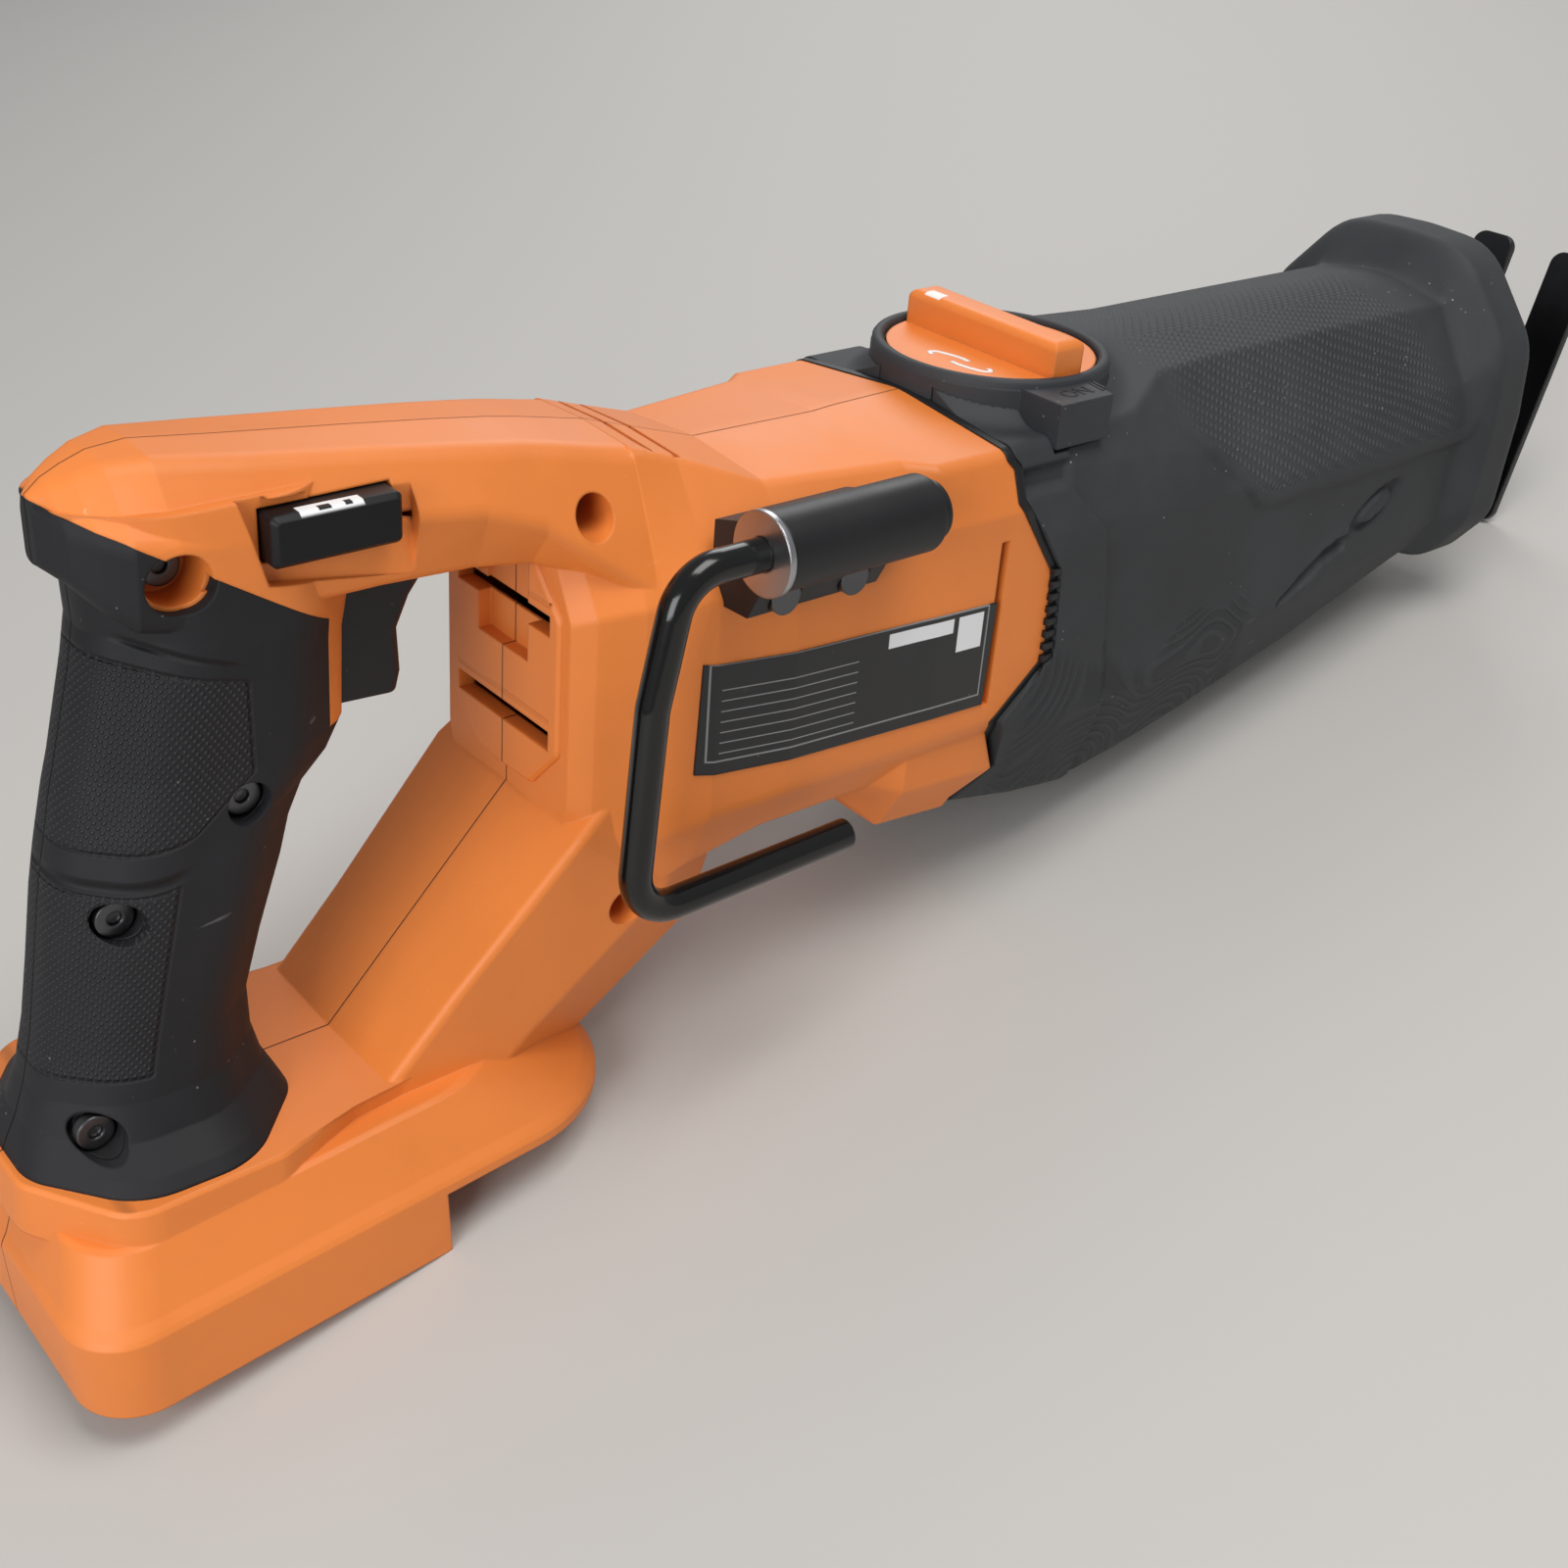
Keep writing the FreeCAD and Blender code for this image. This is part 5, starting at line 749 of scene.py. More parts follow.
def prism(outline: np.ndarray, low: float, high: float) -> tuple[np.ndarray, list[list[int]]]:
    """Upright prism over an outline that runs anticlockwise.

    Args:
        outline: Array of (x, y) corners.
        low: Lower height.
        high: Upper height.

    Returns:
        Points of shape (2 * corners, 3), and faces that point outwards.
    """
    count = len(outline)
    base = np.column_stack([outline, np.full(count, low)])
    roof = np.column_stack([outline, np.full(count, high)])
    sides = [[i, (i + 1) % count, count + (i + 1) % count, count + i] for i in range(count)]
    caps = [list(range(count))[::-1], list(range(count, 2 * count))]
    return np.vstack([base, roof]), sides + caps


@dataclass
class Boot:
    """Rubber boot with its panels, slit and flared front.

    Attributes:
        shop: Workshop with the finishes.
        wall: Thickness of the rubber.
        front: Front edge of the flange.
        mouth: Plane at which the open mouth ends.
        lip: Width of the flange's front face.
        gasket: Width of the gasket at the stepped rear edge.
        top: Height of the crown.
        axis: Height of the spindle.
        dial: Place of the dial's axis.
        collar: Radius of the dial's collar.
        stations: Rows of place along the tool, then crown, edge, edge height, panel, panel height, side,
            side height, flank, flank height, base, base height and keel.
        rounding: Radii of the section's corners from crown to keel.
        flange_rounding: The same radii at the flange.
        stepped_edge: Rear edge as (height, place along the tool), from the bottom up.
    """

    shop: Workshop
    wall: float = 3.1
    front: float = 425.0
    mouth: float = 411.0
    lip: float = 8.0
    gasket: float = 2.25
    top: float = 160.5
    axis: float = 125.0
    dial: float = 246.0
    collar: float = 27.85
    rows: int = 205
    stations: tuple = (
        (212.0, -5.0, 33.6, -9.4, 36.6, 20.0, 39.6, 8.0, 40.4, -39.0, 31.0, -61.0, -63.0),
        (240.0, -4.6, 33.6, -9.2, 36.8, 19.6, 40.0, 7.0, 40.8, -40.0, 31.0, -67.0, -69.0),
        (263.0, -3.0, 31.5, -8.0, 36.6, 18.0, 40.4, 5.0, 41.0, -41.0, 31.0, -70.0, -72.0),
        (280.0, 0.0, 23.0, -4.2, 35.4, 15.4, 40.4, 4.0, 40.8, -40.0, 30.6, -68.0, -70.0),
        (304.0, 0.0, 20.5, -4.5, 34.2, 13.0, 39.4, 3.4, 40.2, -37.0, 30.0, -64.0, -66.0),
        (348.0, 0.0, 20.5, -4.5, 33.4, 12.5, 37.6, 3.0, 38.2, -32.0, 29.0, -54.8, -57.0),
        (399.0, -0.3, 20.5, -4.6, 32.6, 12.0, 35.8, 3.0, 35.8, -26.0, 27.5, -41.0, -43.0),
    )
    flange: tuple = ((0.0, 46.0), (19.5, 45.0), (39.0, 22.0), (41.0, 2.0), (40.6, -28.0), (29.5, -43.0),
                     (0.0, -44.5))
    rounding: tuple = (40.0, 3.0, 3.0, 4.0, 9.0, 9.0, 30.0)
    flange_rounding: tuple = (60.0, 22.0, 20.0, 16.0, 14.0, 12.0, 30.0)
    stepped_edge: tuple = ((33.5, 216.0), (65.5, 216.0), (73.5, 223.5), (88.0, 218.5), (101.5, 233.5),
                           (123.0, 231.5), (141.0, 219.0), (148.0, 219.0), (150.0, 217.2), (190.0, 217.2))
    side_counts: tuple = (17, 18, 9, 38, 22, 26)

    def build(self) -> None:
        """Make the boot and stand it in for its node."""
        points, skin, masks = self._surface()
        rows, columns = points.shape[:2]
        corner = np.arange(rows * columns).reshape(rows, columns)
        ahead = np.roll(corner, -1, axis=0)
        faces = np.stack([corner, ahead, np.roll(ahead, -1, axis=1), np.roll(corner, -1, axis=1)], axis=-1)
        mesh = self.shop.mesh("front_boot_finished", points.reshape(-1, 3), faces.reshape(-1, 4))
        for label, values in (("skin", skin), ("masks", masks)):
            layer = mesh.uv_layers.new(name=label)
            layer.data.foreach_set("uv", values.reshape(-1).astype(np.float32))
        piece = self.shop.add("front_boot_finished", mesh, "housing", BOOT_RUBBER, "grey_rubber")
        for cutter in self._cutters():
            self.shop.carve(piece, cutter)
        piece.data.shade_smooth()
        piece.data.set_sharp_from_angle(angle=math.radians(50.0))
        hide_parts("front_boot")

    def _cutters(self) -> list[bpy.types.Object]:
        """Make the cutters for the dial's collar, its tab and the release button."""
        turn = np.linspace(0.0, 2.0 * np.pi, 96, endpoint=False)
        ring = np.column_stack([np.cos(turn), np.sin(turn)])
        inner, outer = -self.collar + 6.5, -36.35
        tab = np.array([(self.dial - 14.55, outer), (self.dial + 2.05, outer), (self.dial + 5.05, inner),
                        (self.dial - 14.55, inner)])
        shapes = ((ring * self.collar + [self.dial, 0.0], 149.0, 185.0), (tab, 149.0, 185.0),
                  (ring * 5.35 + [392.0, 0.0], 60.0, 95.0))
        cutters = []
        for index, (outline, low, high) in enumerate(shapes):
            mesh = self.shop.prism_mesh(f"cutter_{index}", outline, low, high)
            cutter = bpy.data.objects.new(f"cutter_{index}", mesh)
            bpy.context.scene.collection.objects.link(cutter)
            cutters.append(cutter)
        return cutters

    def _outline(self, x: np.ndarray, spread: np.ndarray) -> np.ndarray:
        """Twelve corners of the section at each place, blended towards the flange.

        Args:
            x: Places along the tool.
            spread: Share of the flange's outline, of the same shape.

        Returns:
            Array of shape x.shape + (12, 2) of (y, z).
        """
        table = np.array(self.stations)
        values = [np.interp(x, table[:, 0], table[:, column]) for column in range(1, table.shape[1])]
        crown, edge, edge_z, panel, panel_z, side, side_z, flank, flank_z, base, base_z, keel = values
        zero = np.zeros_like(x)
        half = [(zero, self.top + crown), (edge, self.top + edge_z), (panel, self.axis + panel_z),
                (side, self.axis + side_z), (flank, self.axis + flank_z), (base, self.axis + base_z),
                (zero, self.axis + keel)]
        half = np.stack([np.stack(pair, axis=-1) for pair in half], axis=-2)
        flange = np.array(self.flange) + [0.0, self.axis]
        half = half + (flange - half) * spread[..., None, None]
        return np.concatenate([half, half[..., 5:0:-1, :] * [-1.0, 1.0]], axis=-2)

    def _columns(self) -> tuple[np.ndarray, np.ndarray, np.ndarray]:
        """Corner, kind and share of each column: arcs and straight sides in turn."""
        counts = self.side_counts + self.side_counts[::-1]
        corners, arcs, shares = [], [], []
        for index, count in enumerate(counts):
            bend = ARC_STEPS
            corners += [index] * (bend + count)
            arcs += [True] * bend + [False] * count
            shares += list(np.arange(bend) / bend) + list(np.arange(count) / count)
        return np.array(corners), np.array(arcs), np.array(shares)

    def _trace(self, x: np.ndarray, spread: np.ndarray) -> np.ndarray:
        """Points round the section, with x given for each point of a grid.

        A corner is the curve (1-t)^2 entry + 2t(1-t) corner + t^2 leave, and a side is straight.

        Args:
            x: Grid of places along the tool, one row per station.
            spread: Share of the flange's outline, of the same shape.

        Returns:
            Array of shape x.shape + (2,) of (y, z).
        """
        here = self._outline(x, spread)
        back = np.roll(here, 1, axis=-2) - here
        ahead = np.roll(here, -1, axis=-2) - here
        back_length = np.linalg.norm(back, axis=-1)
        ahead_length = np.linalg.norm(ahead, axis=-1)
        back /= back_length[..., None]
        ahead /= ahead_length[..., None]
        half = 0.5 * np.arccos(np.clip(np.sum(back * ahead, axis=-1), -1.0, 1.0))
        plain = np.array(self.rounding + self.rounding[5:0:-1])
        flared = np.array(self.flange_rounding + self.flange_rounding[5:0:-1])
        radii = plain + (flared - plain) * spread[..., None]
        reach = np.minimum(radii / np.tan(half), 0.45 * np.minimum(back_length, ahead_length))[..., None]
        entry = here + back * reach
        leave = here + ahead * reach
        following = np.roll(entry, -1, axis=-2)
        corner, arc, share = self._columns()
        column = np.arange(len(corner))
        first, tip, last, target = (values[:, column, corner] for values in (entry, here, leave, following))
        t = share[None, :, None]
        curve = (1 - t) ** 2 * first + 2 * t * (1 - t) * tip + t ** 2 * last
        return np.where(arc[None, :, None], curve, last + t * (target - last))

    def _surface(self) -> tuple[np.ndarray, np.ndarray, np.ndarray]:
        """Whole closed skin: outside, lip, mouth and inside, as one grid that wraps both ways.

        Returns:
            Points of shape (rows, columns, 3), and two UV grids of shape (rows, columns, 4, 2).
        """
        columns = len(self._columns()[0])
        rear = np.full((1, columns), 226.0)
        heights, places = np.array(self.stepped_edge).T
        for _ in range(4):
            z = self._trace(rear, np.zeros_like(rear))[..., 1]
            rear = np.interp(z, heights, places) + self.gasket
        share = np.linspace(0.0, 1.0, self.rows)[:, None]
        outside = rear + (self.front - 5.0 - rear) * share
        spread = 0.5 - 0.5 * np.cos(np.pi * np.clip((outside - 401.0) / 9.0, 0.0, 1.0))
        bend = np.linspace(0.0, np.pi / 2, 7)[1:, None]
        lip_x = np.vstack([self.front - 5.0 + 5.0 * np.sin(bend), np.full((1, 1), self.front),
                           self.front - 2.0 + 2.0 * np.cos(bend), np.array([[418.0], [self.mouth]])])
        lip_depth = np.vstack([3.5 * (1.0 - np.cos(bend)), np.full((1, 1), 6.0), 6.0 + 2.0 * np.sin(bend),
                               np.full((2, 1), self.lip)])
        inside = rear + (self.mouth - 0.2 - rear) * np.linspace(1.0, 0.0, 16)[:, None]
        x = np.vstack([outside, np.broadcast_to(lip_x, (len(lip_x), columns)), inside])
        spreads = np.vstack([spread, np.ones((len(lip_x), columns)), np.zeros_like(inside)])
        depth = np.vstack([np.zeros_like(outside), np.broadcast_to(lip_depth, (len(lip_x), columns)),
                           np.full_like(inside, self.wall)])
        section = self._trace(x, spreads)
        tangent = np.roll(section, -1, axis=1) - np.roll(section, 1, axis=1)
        tangent /= np.linalg.norm(tangent, axis=-1, keepdims=True)
        outward = np.stack([-tangent[..., 1], tangent[..., 0]], axis=-1)
        step = np.linalg.norm(np.roll(section, -1, axis=1) - section, axis=-1)
        around = np.cumsum(step, axis=1) - step
        relief, dotted, lined = self._relief(x, section, around)
        relief[self.rows:] = 0.0
        relief *= 1.0 - spreads
        section = section + outward * (relief - depth)[..., None]
        section[..., 1] = self._meet_collar(x, section)
        points = np.concatenate([x[..., None], section], axis=-1)
        return points, self._corner_values(x, around, step), self._mask_values(dotted, lined)

    def _meet_collar(self, x: np.ndarray, section: np.ndarray) -> np.ndarray:
        """Heights with the crown swept up to the dial's collar: a fillet 5 mm wide."""
        distance = np.hypot(x - self.dial, section[..., 0])
        near = np.clip((self.collar + 5.5 - distance) / 5.5, 0.0, 1.0)
        top = (section[..., 1] > 140.0) & (np.arange(len(x)) < self.rows)[:, None]
        ceiling = np.where(distance < self.collar + 8.0, 159.2 + 0.35 * (distance - self.collar), 999.0)
        raised = np.minimum(section[..., 1] + 3.2 * near ** 2, np.maximum(ceiling, 0.0))
        return np.where(top, raised, section[..., 1])

    def _relief(self, x: np.ndarray, section: np.ndarray, around: np.ndarray) -> tuple[np.ndarray, ...]:
        """Height of the relief over the plain skin, and the two masks.

        Each step is a smooth ramp of a distance: 3t^2 - 2t^3 over its width.

        Args:
            x: Grid of places along the tool.
            section: Grid of (y, z).
            around: Length round the section from the crown.

        Returns:
            Relief in millimetres, share of dots and share of contour lines.
        """
        y, z = section[..., 0], section[..., 1]
        corner, arc, share = self._columns()
        total = around[:, -1:] + 1.0
        half = np.minimum(around, total - around)
        ledge_column = int(np.argmax((corner == 2) & (share >= 0.5)))
        up = half[:, ledge_column:ledge_column + 1] - half
        left = x - (307.0 - 1.35 * np.clip(up, -4.0, 40.0))
        fade = 1.0 - smooth(up, 12.0, 26.0)
        upper = smooth(up, -0.6, 0.6) * smooth(left, -0.8, 0.8) * fade
        relief = 1.0 * upper
        dotted = smooth(up, 3.4, 4.4) * smooth(left, 5.0, 6.2) * smooth(400.0 - x - 0.4 * up, -3.0, 3.0)
        ahead = smooth(x, 276.0, 300.0)
        dotted = dotted * (ahead + (1.0 - ahead) * (1.0 - smooth(up, 12.0, 20.0)))
        relief -= 0.45 * smooth(up, 2.9, 4.2) * smooth(left, 4.6, 6.2) * fade
        panel_edge = np.interp(z, (60.0, 76.0, 98.0, 129.4, 142.0), (259.0, 257.7, 253.8, 248.0, 235.5))
        lower_step = (1.0 - smooth(x - panel_edge, -0.8, 0.8)) * (1.0 - smooth(z, 141.4, 142.6))
        block = (1.0 - smooth(x, 236.0, 237.6)) * smooth(z, 146.6, 147.6) * (1.0 - smooth(z, 151.2, 152.4))
        notch = (1.0 - smooth(x, 236.0, 237.6)) * smooth(z, 141.8, 142.8) * (1.0 - smooth(z, 146.0, 147.0))
        relief += 1.4 * lower_step + 1.2 * block - 1.4 * notch
        side = (y < 0.0) & (z < 125.0)
        slit = path_distance(x, z, ((326.5, 91.5), (337.0, 97.0), (343.0, 101.0), (351.0, 103.0)))
        slit = slit - 1.1 * smooth(x, 326.0, 338.0)
        tilt = math.radians(24.0)
        p, q = x - 365.0, z - 110.0
        a = (p * math.cos(tilt) + q * math.sin(tilt)) / 9.5
        b = (q * math.cos(tilt) - p * math.sin(tilt)) / 3.4
        oval = (np.hypot(a, b) - 1.0) * 3.4
        cut = 2.5 * (1.0 - smooth(slit, 0.3, 1.3)) + 1.7 * (1.0 - smooth(np.abs(oval), 0.3, 1.3))
        pad = 0.6 * (1.0 - smooth(oval, -1.3, -0.4))
        pad += 0.7 * (1.0 - smooth(slit, 1.6, 4.5)) * smooth(x, 333.0, 341.0)
        relief += np.where(side, pad - cut, 0.0)
        wave = 5.0 * np.sin(x / 9.0) + 3.0 * np.sin(x / 4.1 + 1.0)
        lined = smooth(96.0 + wave - z, -1.0, 3.0) * smooth(x, 226.0, 230.0)
        lined = lined * (1.0 - smooth(x + 0.4 * z, 346.0, 352.0))
        return relief, dotted, lined

    @staticmethod
    def _corner_values(x: np.ndarray, around: np.ndarray, step: np.ndarray) -> np.ndarray:
        """UV in metres at each face's four corners: length along and length round."""
        ahead_x, ahead_around, ahead_step = (np.roll(values, -1, axis=0) for values in (x, around, step))
        next_x, next_ahead_x = np.roll(x, -1, axis=1), np.roll(ahead_x, -1, axis=1)
        along = np.stack([x, ahead_x, next_ahead_x, next_x], axis=-1)
        round_it = np.stack([around, ahead_around, ahead_around + ahead_step, around + step], axis=-1)
        return np.stack([along, round_it], axis=-1) / 1000.0

    @staticmethod
    def _mask_values(dotted: np.ndarray, lined: np.ndarray) -> np.ndarray:
        """UV map that holds the two masks at each face's four corners."""
        values = np.stack([dotted, lined], axis=-1)
        ahead = np.roll(values, -1, axis=0)
        return np.stack([values, ahead, np.roll(ahead, -1, axis=1), np.roll(values, -1, axis=1)], axis=2)


def smooth(value: np.ndarray, low: float, high: float) -> np.ndarray:
    """Smooth step from zero at low to one at high: 3t^2 - 2t^3."""
    t = np.clip((value - low) / (high - low), 0.0, 1.0)
    return t * t * (3.0 - 2.0 * t)


def path_distance(x: np.ndarray, z: np.ndarray, path: tuple) -> np.ndarray:
    """Distance from each point to a path of straight runs."""
    best = np.full(x.shape, np.inf)
    for (x_a, z_a), (x_b, z_b) in zip(path[:-1], path[1:]):
        run_x, run_z = x_b - x_a, z_b - z_a
        share = np.clip(((x - x_a) * run_x + (z - z_a) * run_z) / (run_x ** 2 + run_z ** 2), 0.0, 1.0)
        best = np.minimum(best, np.hypot(x - x_a - share * run_x, z - z_a - share * run_z))
    return best


# ------------------------------------------------------------------ marks


@dataclass
class DialMarks:
    """Raised rim round the dial, arcs on its disc, and the word and ticks on the tab beside it.

    Attributes:
        shop: Workshop with the finishes.
        centre: Place of the dial's axis along the tool.
        rim_profile: Rim's section as (radius, height), anticlockwise.
        arcs: Points of each white arc on the disc.
        arc_width: Width of an arc.
        disc_top: Height of the disc's face.
        text_place: Middle of the word in the tool's frame.
        text_height: Height of the letters.
        rise: How far the marks stand up.
        ticks: Start and end of each tick as (x, y, x, y).
    """

    shop: Workshop
    text_place: tuple[float, float, float] = (241.0, -31.6, 159.9)
    text_height: float = 5.6
    rise: float = 0.35
    ticks: tuple = ((247.6, -33.6, 248.6, -28.4), (249.2, -32.6, 250.0, -27.8))
    centre: float = 246.0
    rim_profile: tuple = ((24.9, 158.4), (27.6, 158.4), (27.6, 160.9), (27.2, 161.5), (26.5, 161.7),
                          (25.8, 161.7), (25.2, 161.4), (24.9, 160.9))
    arcs: tuple = (
        ((229.2, 2.2), (229.9, 4.0), (231.6, 3.4), (232.8, 0.0), (233.4, -3.2), (233.2, -5.6)),
        ((229.6, -3.6), (229.4, -6.0), (230.0, -9.2), (231.2, -12.6), (232.9, -13.2), (233.6, -11.4)),
    )
    arc_width: float = 1.15
    disc_top: float = 160.5

    def build(self) -> None:
        """Make the rim, the arcs, the word and the ticks."""
        self._rim()
        for index, path in enumerate(self.arcs):
            self._arc(index, np.array(path))
        self._lettering()

    def _rim(self) -> None:
        """Turn the rim's section round the dial's axis."""
        turn = np.linspace(0.0, 2.0 * np.pi, 120, endpoint=False)[:, None]
        radius, height = np.array(self.rim_profile).T
        points = np.stack([self.centre + radius * np.cos(turn), radius * np.sin(turn),
                           np.broadcast_to(height, (len(turn), len(height)))], axis=-1)
        corner = np.arange(points.shape[0] * points.shape[1]).reshape(points.shape[:2])
        ahead, beside = np.roll(corner, -1, axis=0), np.roll(corner, -1, axis=1)
        faces = np.stack([corner, ahead, np.roll(ahead, -1, axis=1), beside], axis=-1)
        mesh = self.shop.mesh("dial_rim", points.reshape(-1, 3), faces.reshape(-1, 4))
        mesh.shade_smooth()
        mesh.set_sharp_from_angle(angle=math.radians(50.0))
        self.shop.add("dial_rim", mesh, "housing", COLLAR_RUBBER, "grey_rubber")

    def _arc(self, index: int, path: np.ndarray) -> None:
        """Lay one white arc on the disc: a ribbon round a curve through the path's points."""
        share = np.linspace(0.0, 1.0, len(path))
        fine = np.linspace(0.0, 1.0, 28)
        curve = np.stack([np.interp(fine, share, path[:, axis]) for axis in (0, 1)], axis=1)
        for _ in range(3):
            curve[1:-1] = 0.25 * curve[:-2] + 0.5 * curve[1:-1] + 0.25 * curve[2:]
        along = np.gradient(curve, axis=0)
        along /= np.linalg.norm(along, axis=1, keepdims=True)
        across = np.stack([-along[:, 1], along[:, 0]], axis=1) * self.arc_width / 2.0
        outline = np.vstack([curve - across, (curve + across)[::-1]])
        count = len(curve)
        points, _ = prism(outline, self.disc_top - 0.15, self.disc_top + 0.12)
        low = np.arange(count - 1)
        other = 2 * count - 1 - low
        top = 2 * count
        faces = [np.stack([low + top, low + 1 + top, other - 1 + top, other + top], axis=1),
                 np.stack([low, other, other - 1, low + 1], axis=1)]
        ring = np.arange(2 * count)
        after = np.roll(ring, -1)
        faces.append(np.stack([ring, after, after + top, ring + top], axis=1))
        mesh = self.shop.mesh(f"dial_arc_{index}", points, np.vstack(faces))
        self.shop.add(f"dial_arc_{index}", mesh, "dial", WHITE_MARK, "orange_plastic")

    def _lettering(self) -> None:
        """Make the word and the ticks."""
        curve = bpy.data.curves.new("on_mark", "FONT")
        curve.body = "ON"
        curve.size = self.text_height
        curve.align_x = "CENTER"
        curve.align_y = "CENTER"
        curve.extrude = self.rise
        carrier = bpy.data.objects.new("on_mark_curve", curve)
        bpy.context.scene.collection.objects.link(carrier)
        mesh = bpy.data.meshes.new_from_object(carrier)
        points = np.empty(3 * len(mesh.vertices))
        mesh.vertices.foreach_get("co", points)
        points = points.reshape(-1, 3) + np.array(self.text_place)
        mesh.vertices.foreach_set("co", self.shop.layout.place(points).reshape(-1))
        mesh.update()
        bpy.data.objects.remove(carrier)
        self.shop.add("on_mark", mesh, "housing", MARK_RUBBER, "grey_rubber")
        for index, (x_a, y_a, x_b, y_b) in enumerate(self.ticks):
            outline = np.array([(x_a - 0.35, y_a), (x_a + 0.35, y_a), (x_b + 0.35, y_b), (x_b - 0.35, y_b)])
            self.shop.block(f"tick_{index}", outline, self.text_place[2] - 0.3,
                            self.text_place[2] + self.rise, MARK_RUBBER, "grey_rubber")


@dataclass
class TriggerSpring:
    """Spring at the trigger.

    Attributes:
        shop: Workshop with the finishes.
        seat: Middle of its fixed end in the tool's frame.
        length: Its length at rest; not used.
        travel: How far the trigger would shorten it; not used.
    """

    shop: Workshop
    seat: tuple[float, float, float] = (60.0, 0.0, 131.6)
    length: float = 8.0
    travel: float = 6.0

    def build(self) -> None:
        """Stand the spring in for its node, riding on the housing."""
        layout = self.shop.layout
        piece = self.shop.soften("trigger_spring", "housing", self.shop.finish(BRIGHT_STEEL), 0.0)
        anchor = layout.place(np.array([self.seat]))[0]
        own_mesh(piece)


@dataclass
class GasketTeeth:
    """Row of small teeth that the gasket shows in the boot's rear step.

    Attributes:
        shop: Workshop with the finishes.
        start: First tooth's place (x, side, z).
        pitch: Step from tooth to tooth along the height.
        count: Number of teeth on each side.
        lean: How far back each tooth stands from the one below.
        size: Length, depth and height of a tooth.
    """

    shop: Workshop
    start: tuple[float, float, float] = (233.6, 40.6, 98.0)
    pitch: float = 3.1
    count: int = 9
    lean: float = 0.06
    size: tuple[float, float, float] = (3.4, 1.6, 1.6)

    def build(self) -> None:
        """Make both rows."""
        length, depth, height = self.size
        corners = np.array([(-length, -depth), (length, -depth), (length, depth), (-length, depth)]) / 2.0
        for side in Side:
            for index in range(self.count):
                outline = corners + [self.start[0] - self.lean * index, side.value * self.start[1]]
                z = self.start[2] + self.pitch * index
                self.shop.block(f"gasket_tooth_{side.name.lower()}_{index}", outline, z - height / 2,
                                z + height / 2, BLACK_PLASTIC, "black_rubber")


# ------------------------------------------------------------------ stage


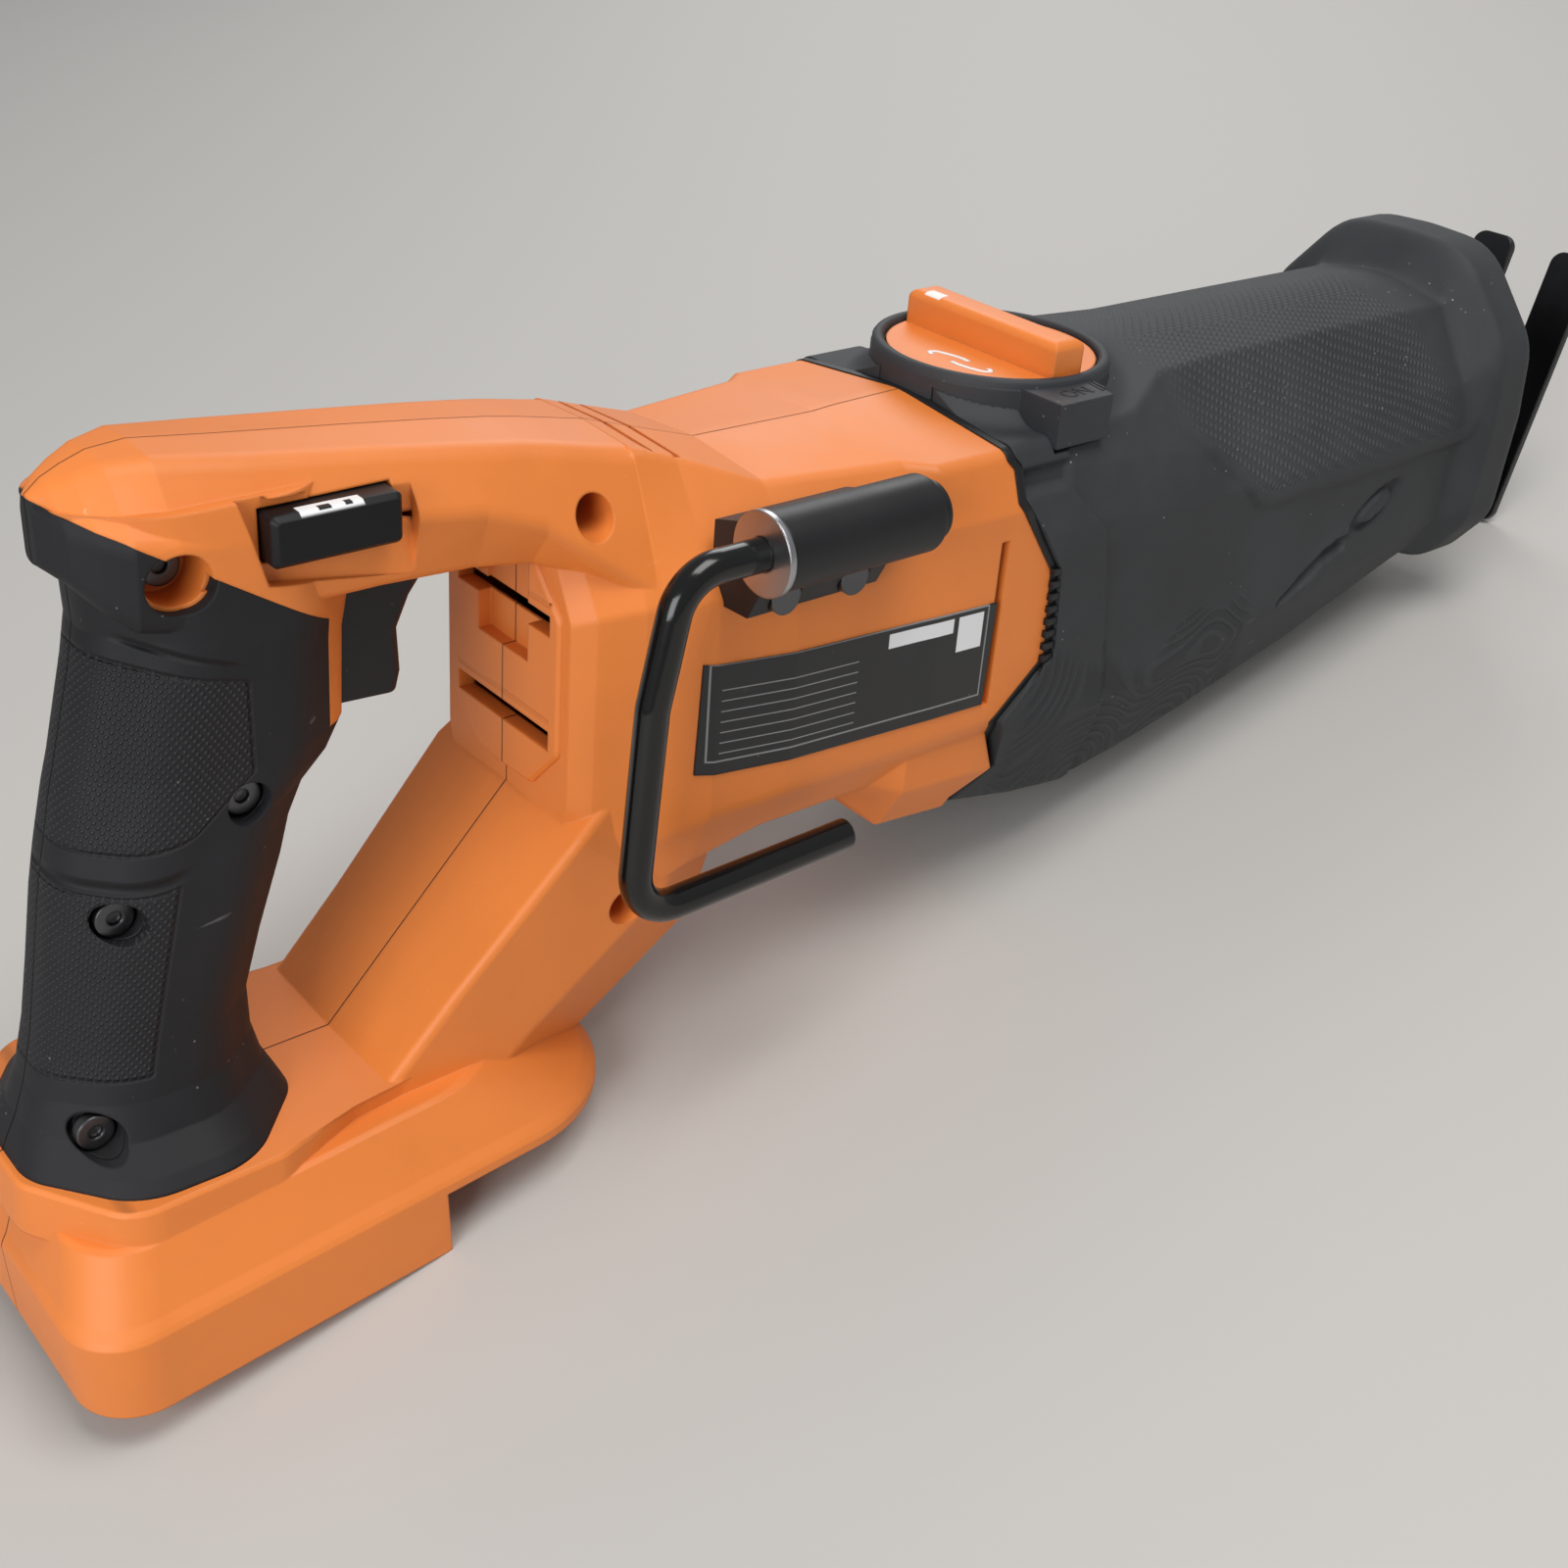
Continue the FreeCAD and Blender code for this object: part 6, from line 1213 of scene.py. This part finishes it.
@dataclass
class Stage:
    """Floor, light and camera.

    Attributes:
        layout: Tool frame.
        camera_place: Camera's place in the tool's frame, in millimetres.
        azimuth: Camera's compass angle, in degrees.
        elevation: Camera's height angle, in degrees.
        roll: Camera's roll, in degrees.
        lens: Focal length, in millimetres, for a 36 mm wide sensor.
    """

    layout: Layout
    camera_place: tuple[float, float, float] = (-82.455, -298.406, 295.687)
    azimuth: float = -42.763
    elevation: float = 30.136
    roll: float = 5.149
    lens: float = 44.7

    def build(self) -> None:
        """Build the whole stage."""
        self._camera()
        self._floor()
        self._lights()
        bpy.context.scene.view_settings.view_transform = "Standard"

    def _camera(self) -> None:
        """Set up the camera from its angles in the tool's frame."""
        azimuth, elevation, roll = (math.radians(v) for v in (self.azimuth, self.elevation, self.roll))
        back = np.array([math.sin(azimuth) * math.cos(elevation), -math.cos(azimuth) * math.cos(elevation),
                         math.sin(elevation)])
        right = np.cross(-back, [0.0, 0.0, 1.0])
        right /= np.linalg.norm(right)
        upward = np.cross(right, -back)
        cosine, sine = math.cos(roll), math.sin(roll)
        axes = np.stack([cosine * right + sine * upward, -sine * right + cosine * upward, back], axis=1)
        axes = self.layout.turn @ axes
        place = self.layout.place(np.array([self.camera_place]))[0]
        data = bpy.data.cameras.new("camera")
        data.lens = self.lens
        data.sensor_width = 36.0
        data.clip_start = 0.01
        camera = bpy.data.objects.new("camera", data)
        rows = [list(row) + [shift] for row, shift in zip(axes, place)]
        camera.matrix_world = Matrix(rows + [[0, 0, 0, 1]])
        bpy.context.scene.collection.objects.link(camera)
        bpy.context.scene.camera = camera

    def _floor(self) -> None:
        """Lay a wide pale floor."""
        mesh = bpy.data.meshes.new("floor")
        half = 6.0
        corners = [(-half, -half, 0), (half, -half, 0), (half, half, 0), (-half, half, 0)]
        mesh.from_pydata(corners, [], [(0, 1, 2, 3)])
        floor = bpy.data.objects.new("floor", mesh)
        bpy.context.scene.collection.objects.link(floor)
        material = bpy.data.materials.new("floor")
        material.use_nodes = True
        shader = material.node_tree.nodes["Principled BSDF"]
        shader.inputs["Base Color"].default_value = (0.50, 0.485, 0.46, 1.0)
        shader.inputs["Roughness"].default_value = 0.7
        mesh.materials.append(material)

    def _lights(self) -> None:
        """Hang two large soft lamps and set an even sky."""
        lamps = (
            ("key_lamp", (0.15, -0.35, 1.25), (0.0, 0.0, 0.08), 10.5, 0.7, (1.0, 0.985, 0.96)),
            ("fill_lamp", (-1.0, -0.45, 0.55), (0.0, 0.0, 0.08), 7.5, 0.6, (0.97, 0.985, 1.0)),
            ("edge_lamp", (0.8, 0.75, 0.7), (0.0, 0.0, 0.08), 4.0, 0.6, (1.0, 1.0, 1.0)),
        )
        for name, place, target, power, width, colour in lamps:
            data = bpy.data.lights.new(name, "AREA")
            data.energy = power
            data.size = width
            data.color = colour
            lamp = bpy.data.objects.new(name, data)
            lamp.location = place
            lamp.rotation_euler = (Vector(target) - Vector(place)).to_track_quat("-Z", "Y").to_euler()
            bpy.context.scene.collection.objects.link(lamp)
        world = bpy.data.worlds.new("sky")
        world.use_nodes = True
        world.node_tree.nodes["Background"].inputs[0].default_value = (0.86, 0.88, 0.92, 1.0)
        world.node_tree.nodes["Background"].inputs[1].default_value = 0.36
        bpy.context.scene.world = world


# ------------------------------------------------------------------- main


SOFTENED = {
    "dial_collar": ("housing", COLLAR_RUBBER, 0.5),
    "orbit_dial": ("dial", DIAL_ORANGE, 0.5),
    "trigger": ("trigger", BLACK_PLASTIC, 0.5),
    "lock_off_button": ("lock_button", LOCK_PLASTIC, 0.5),
    "hook_bracket": ("housing", BLACK_PLASTIC, 0.5),
    "hook_sleeve": ("housing", BLACK_PLASTIC, 0.7),
    "shoe": ("shoe", DARK_STEEL, 0.4),
}

PLAIN = {
    ORANGE: ("housing_right", "housing_left"),
    GRIP_RUBBER: ("grip_rubber_right", "grip_rubber_left"),
    BLACK_PLASTIC: ("boot_gasket", "control_board", "switch_module", "battery_terminals", "motor_end_bell",
                    "cooling_fan", "orbit_cam", "clamp_sleeve", "shoe_release_button", "front_seal",
                    "motor_wires"),
    PLATE: ("rating_plate",),
    WIRE_PAINT: ("hook_wire",),
    DARK_STEEL: ("shoe_post", "blade_clamp"),
    BRIGHT_STEEL: ("shoe_pin", "hook_washer", "motor_shaft", "pinion", "crown_gear", "crank_roller",
                   "spindle", "motor_bearings", "gear_bearing"),
    SCREW_STEEL: ("hook_screws", "housing_screws", "case_screws"),
    CAST_ALLOY: ("gear_case_lower", "gear_case_upper"),
    CORE_IRON: ("stator", "rotor"),
    BRONZE: ("spindle_bushes",),
    LENS: ("work_lamp",),
}


def main() -> None:
    """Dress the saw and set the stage."""
    logging.basicConfig(level=logging.INFO, format="%(message)s")
    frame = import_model()
    shop = Workshop(Layout(frame), Effects())
    for finish, nodes in PLAIN.items():
        for node in nodes:
            shop.dress(node, shop.finish(finish))
    for node, (body, finish, width) in SOFTENED.items():
        shop.soften(node, body, shop.finish(finish), width)
    Boot(shop).build()
    DialMarks(shop).build()
    GasketTeeth(shop).build()
    TriggerSpring(shop).build()
    Stage(shop.layout).build()


if __name__ == "__main__":
    main()
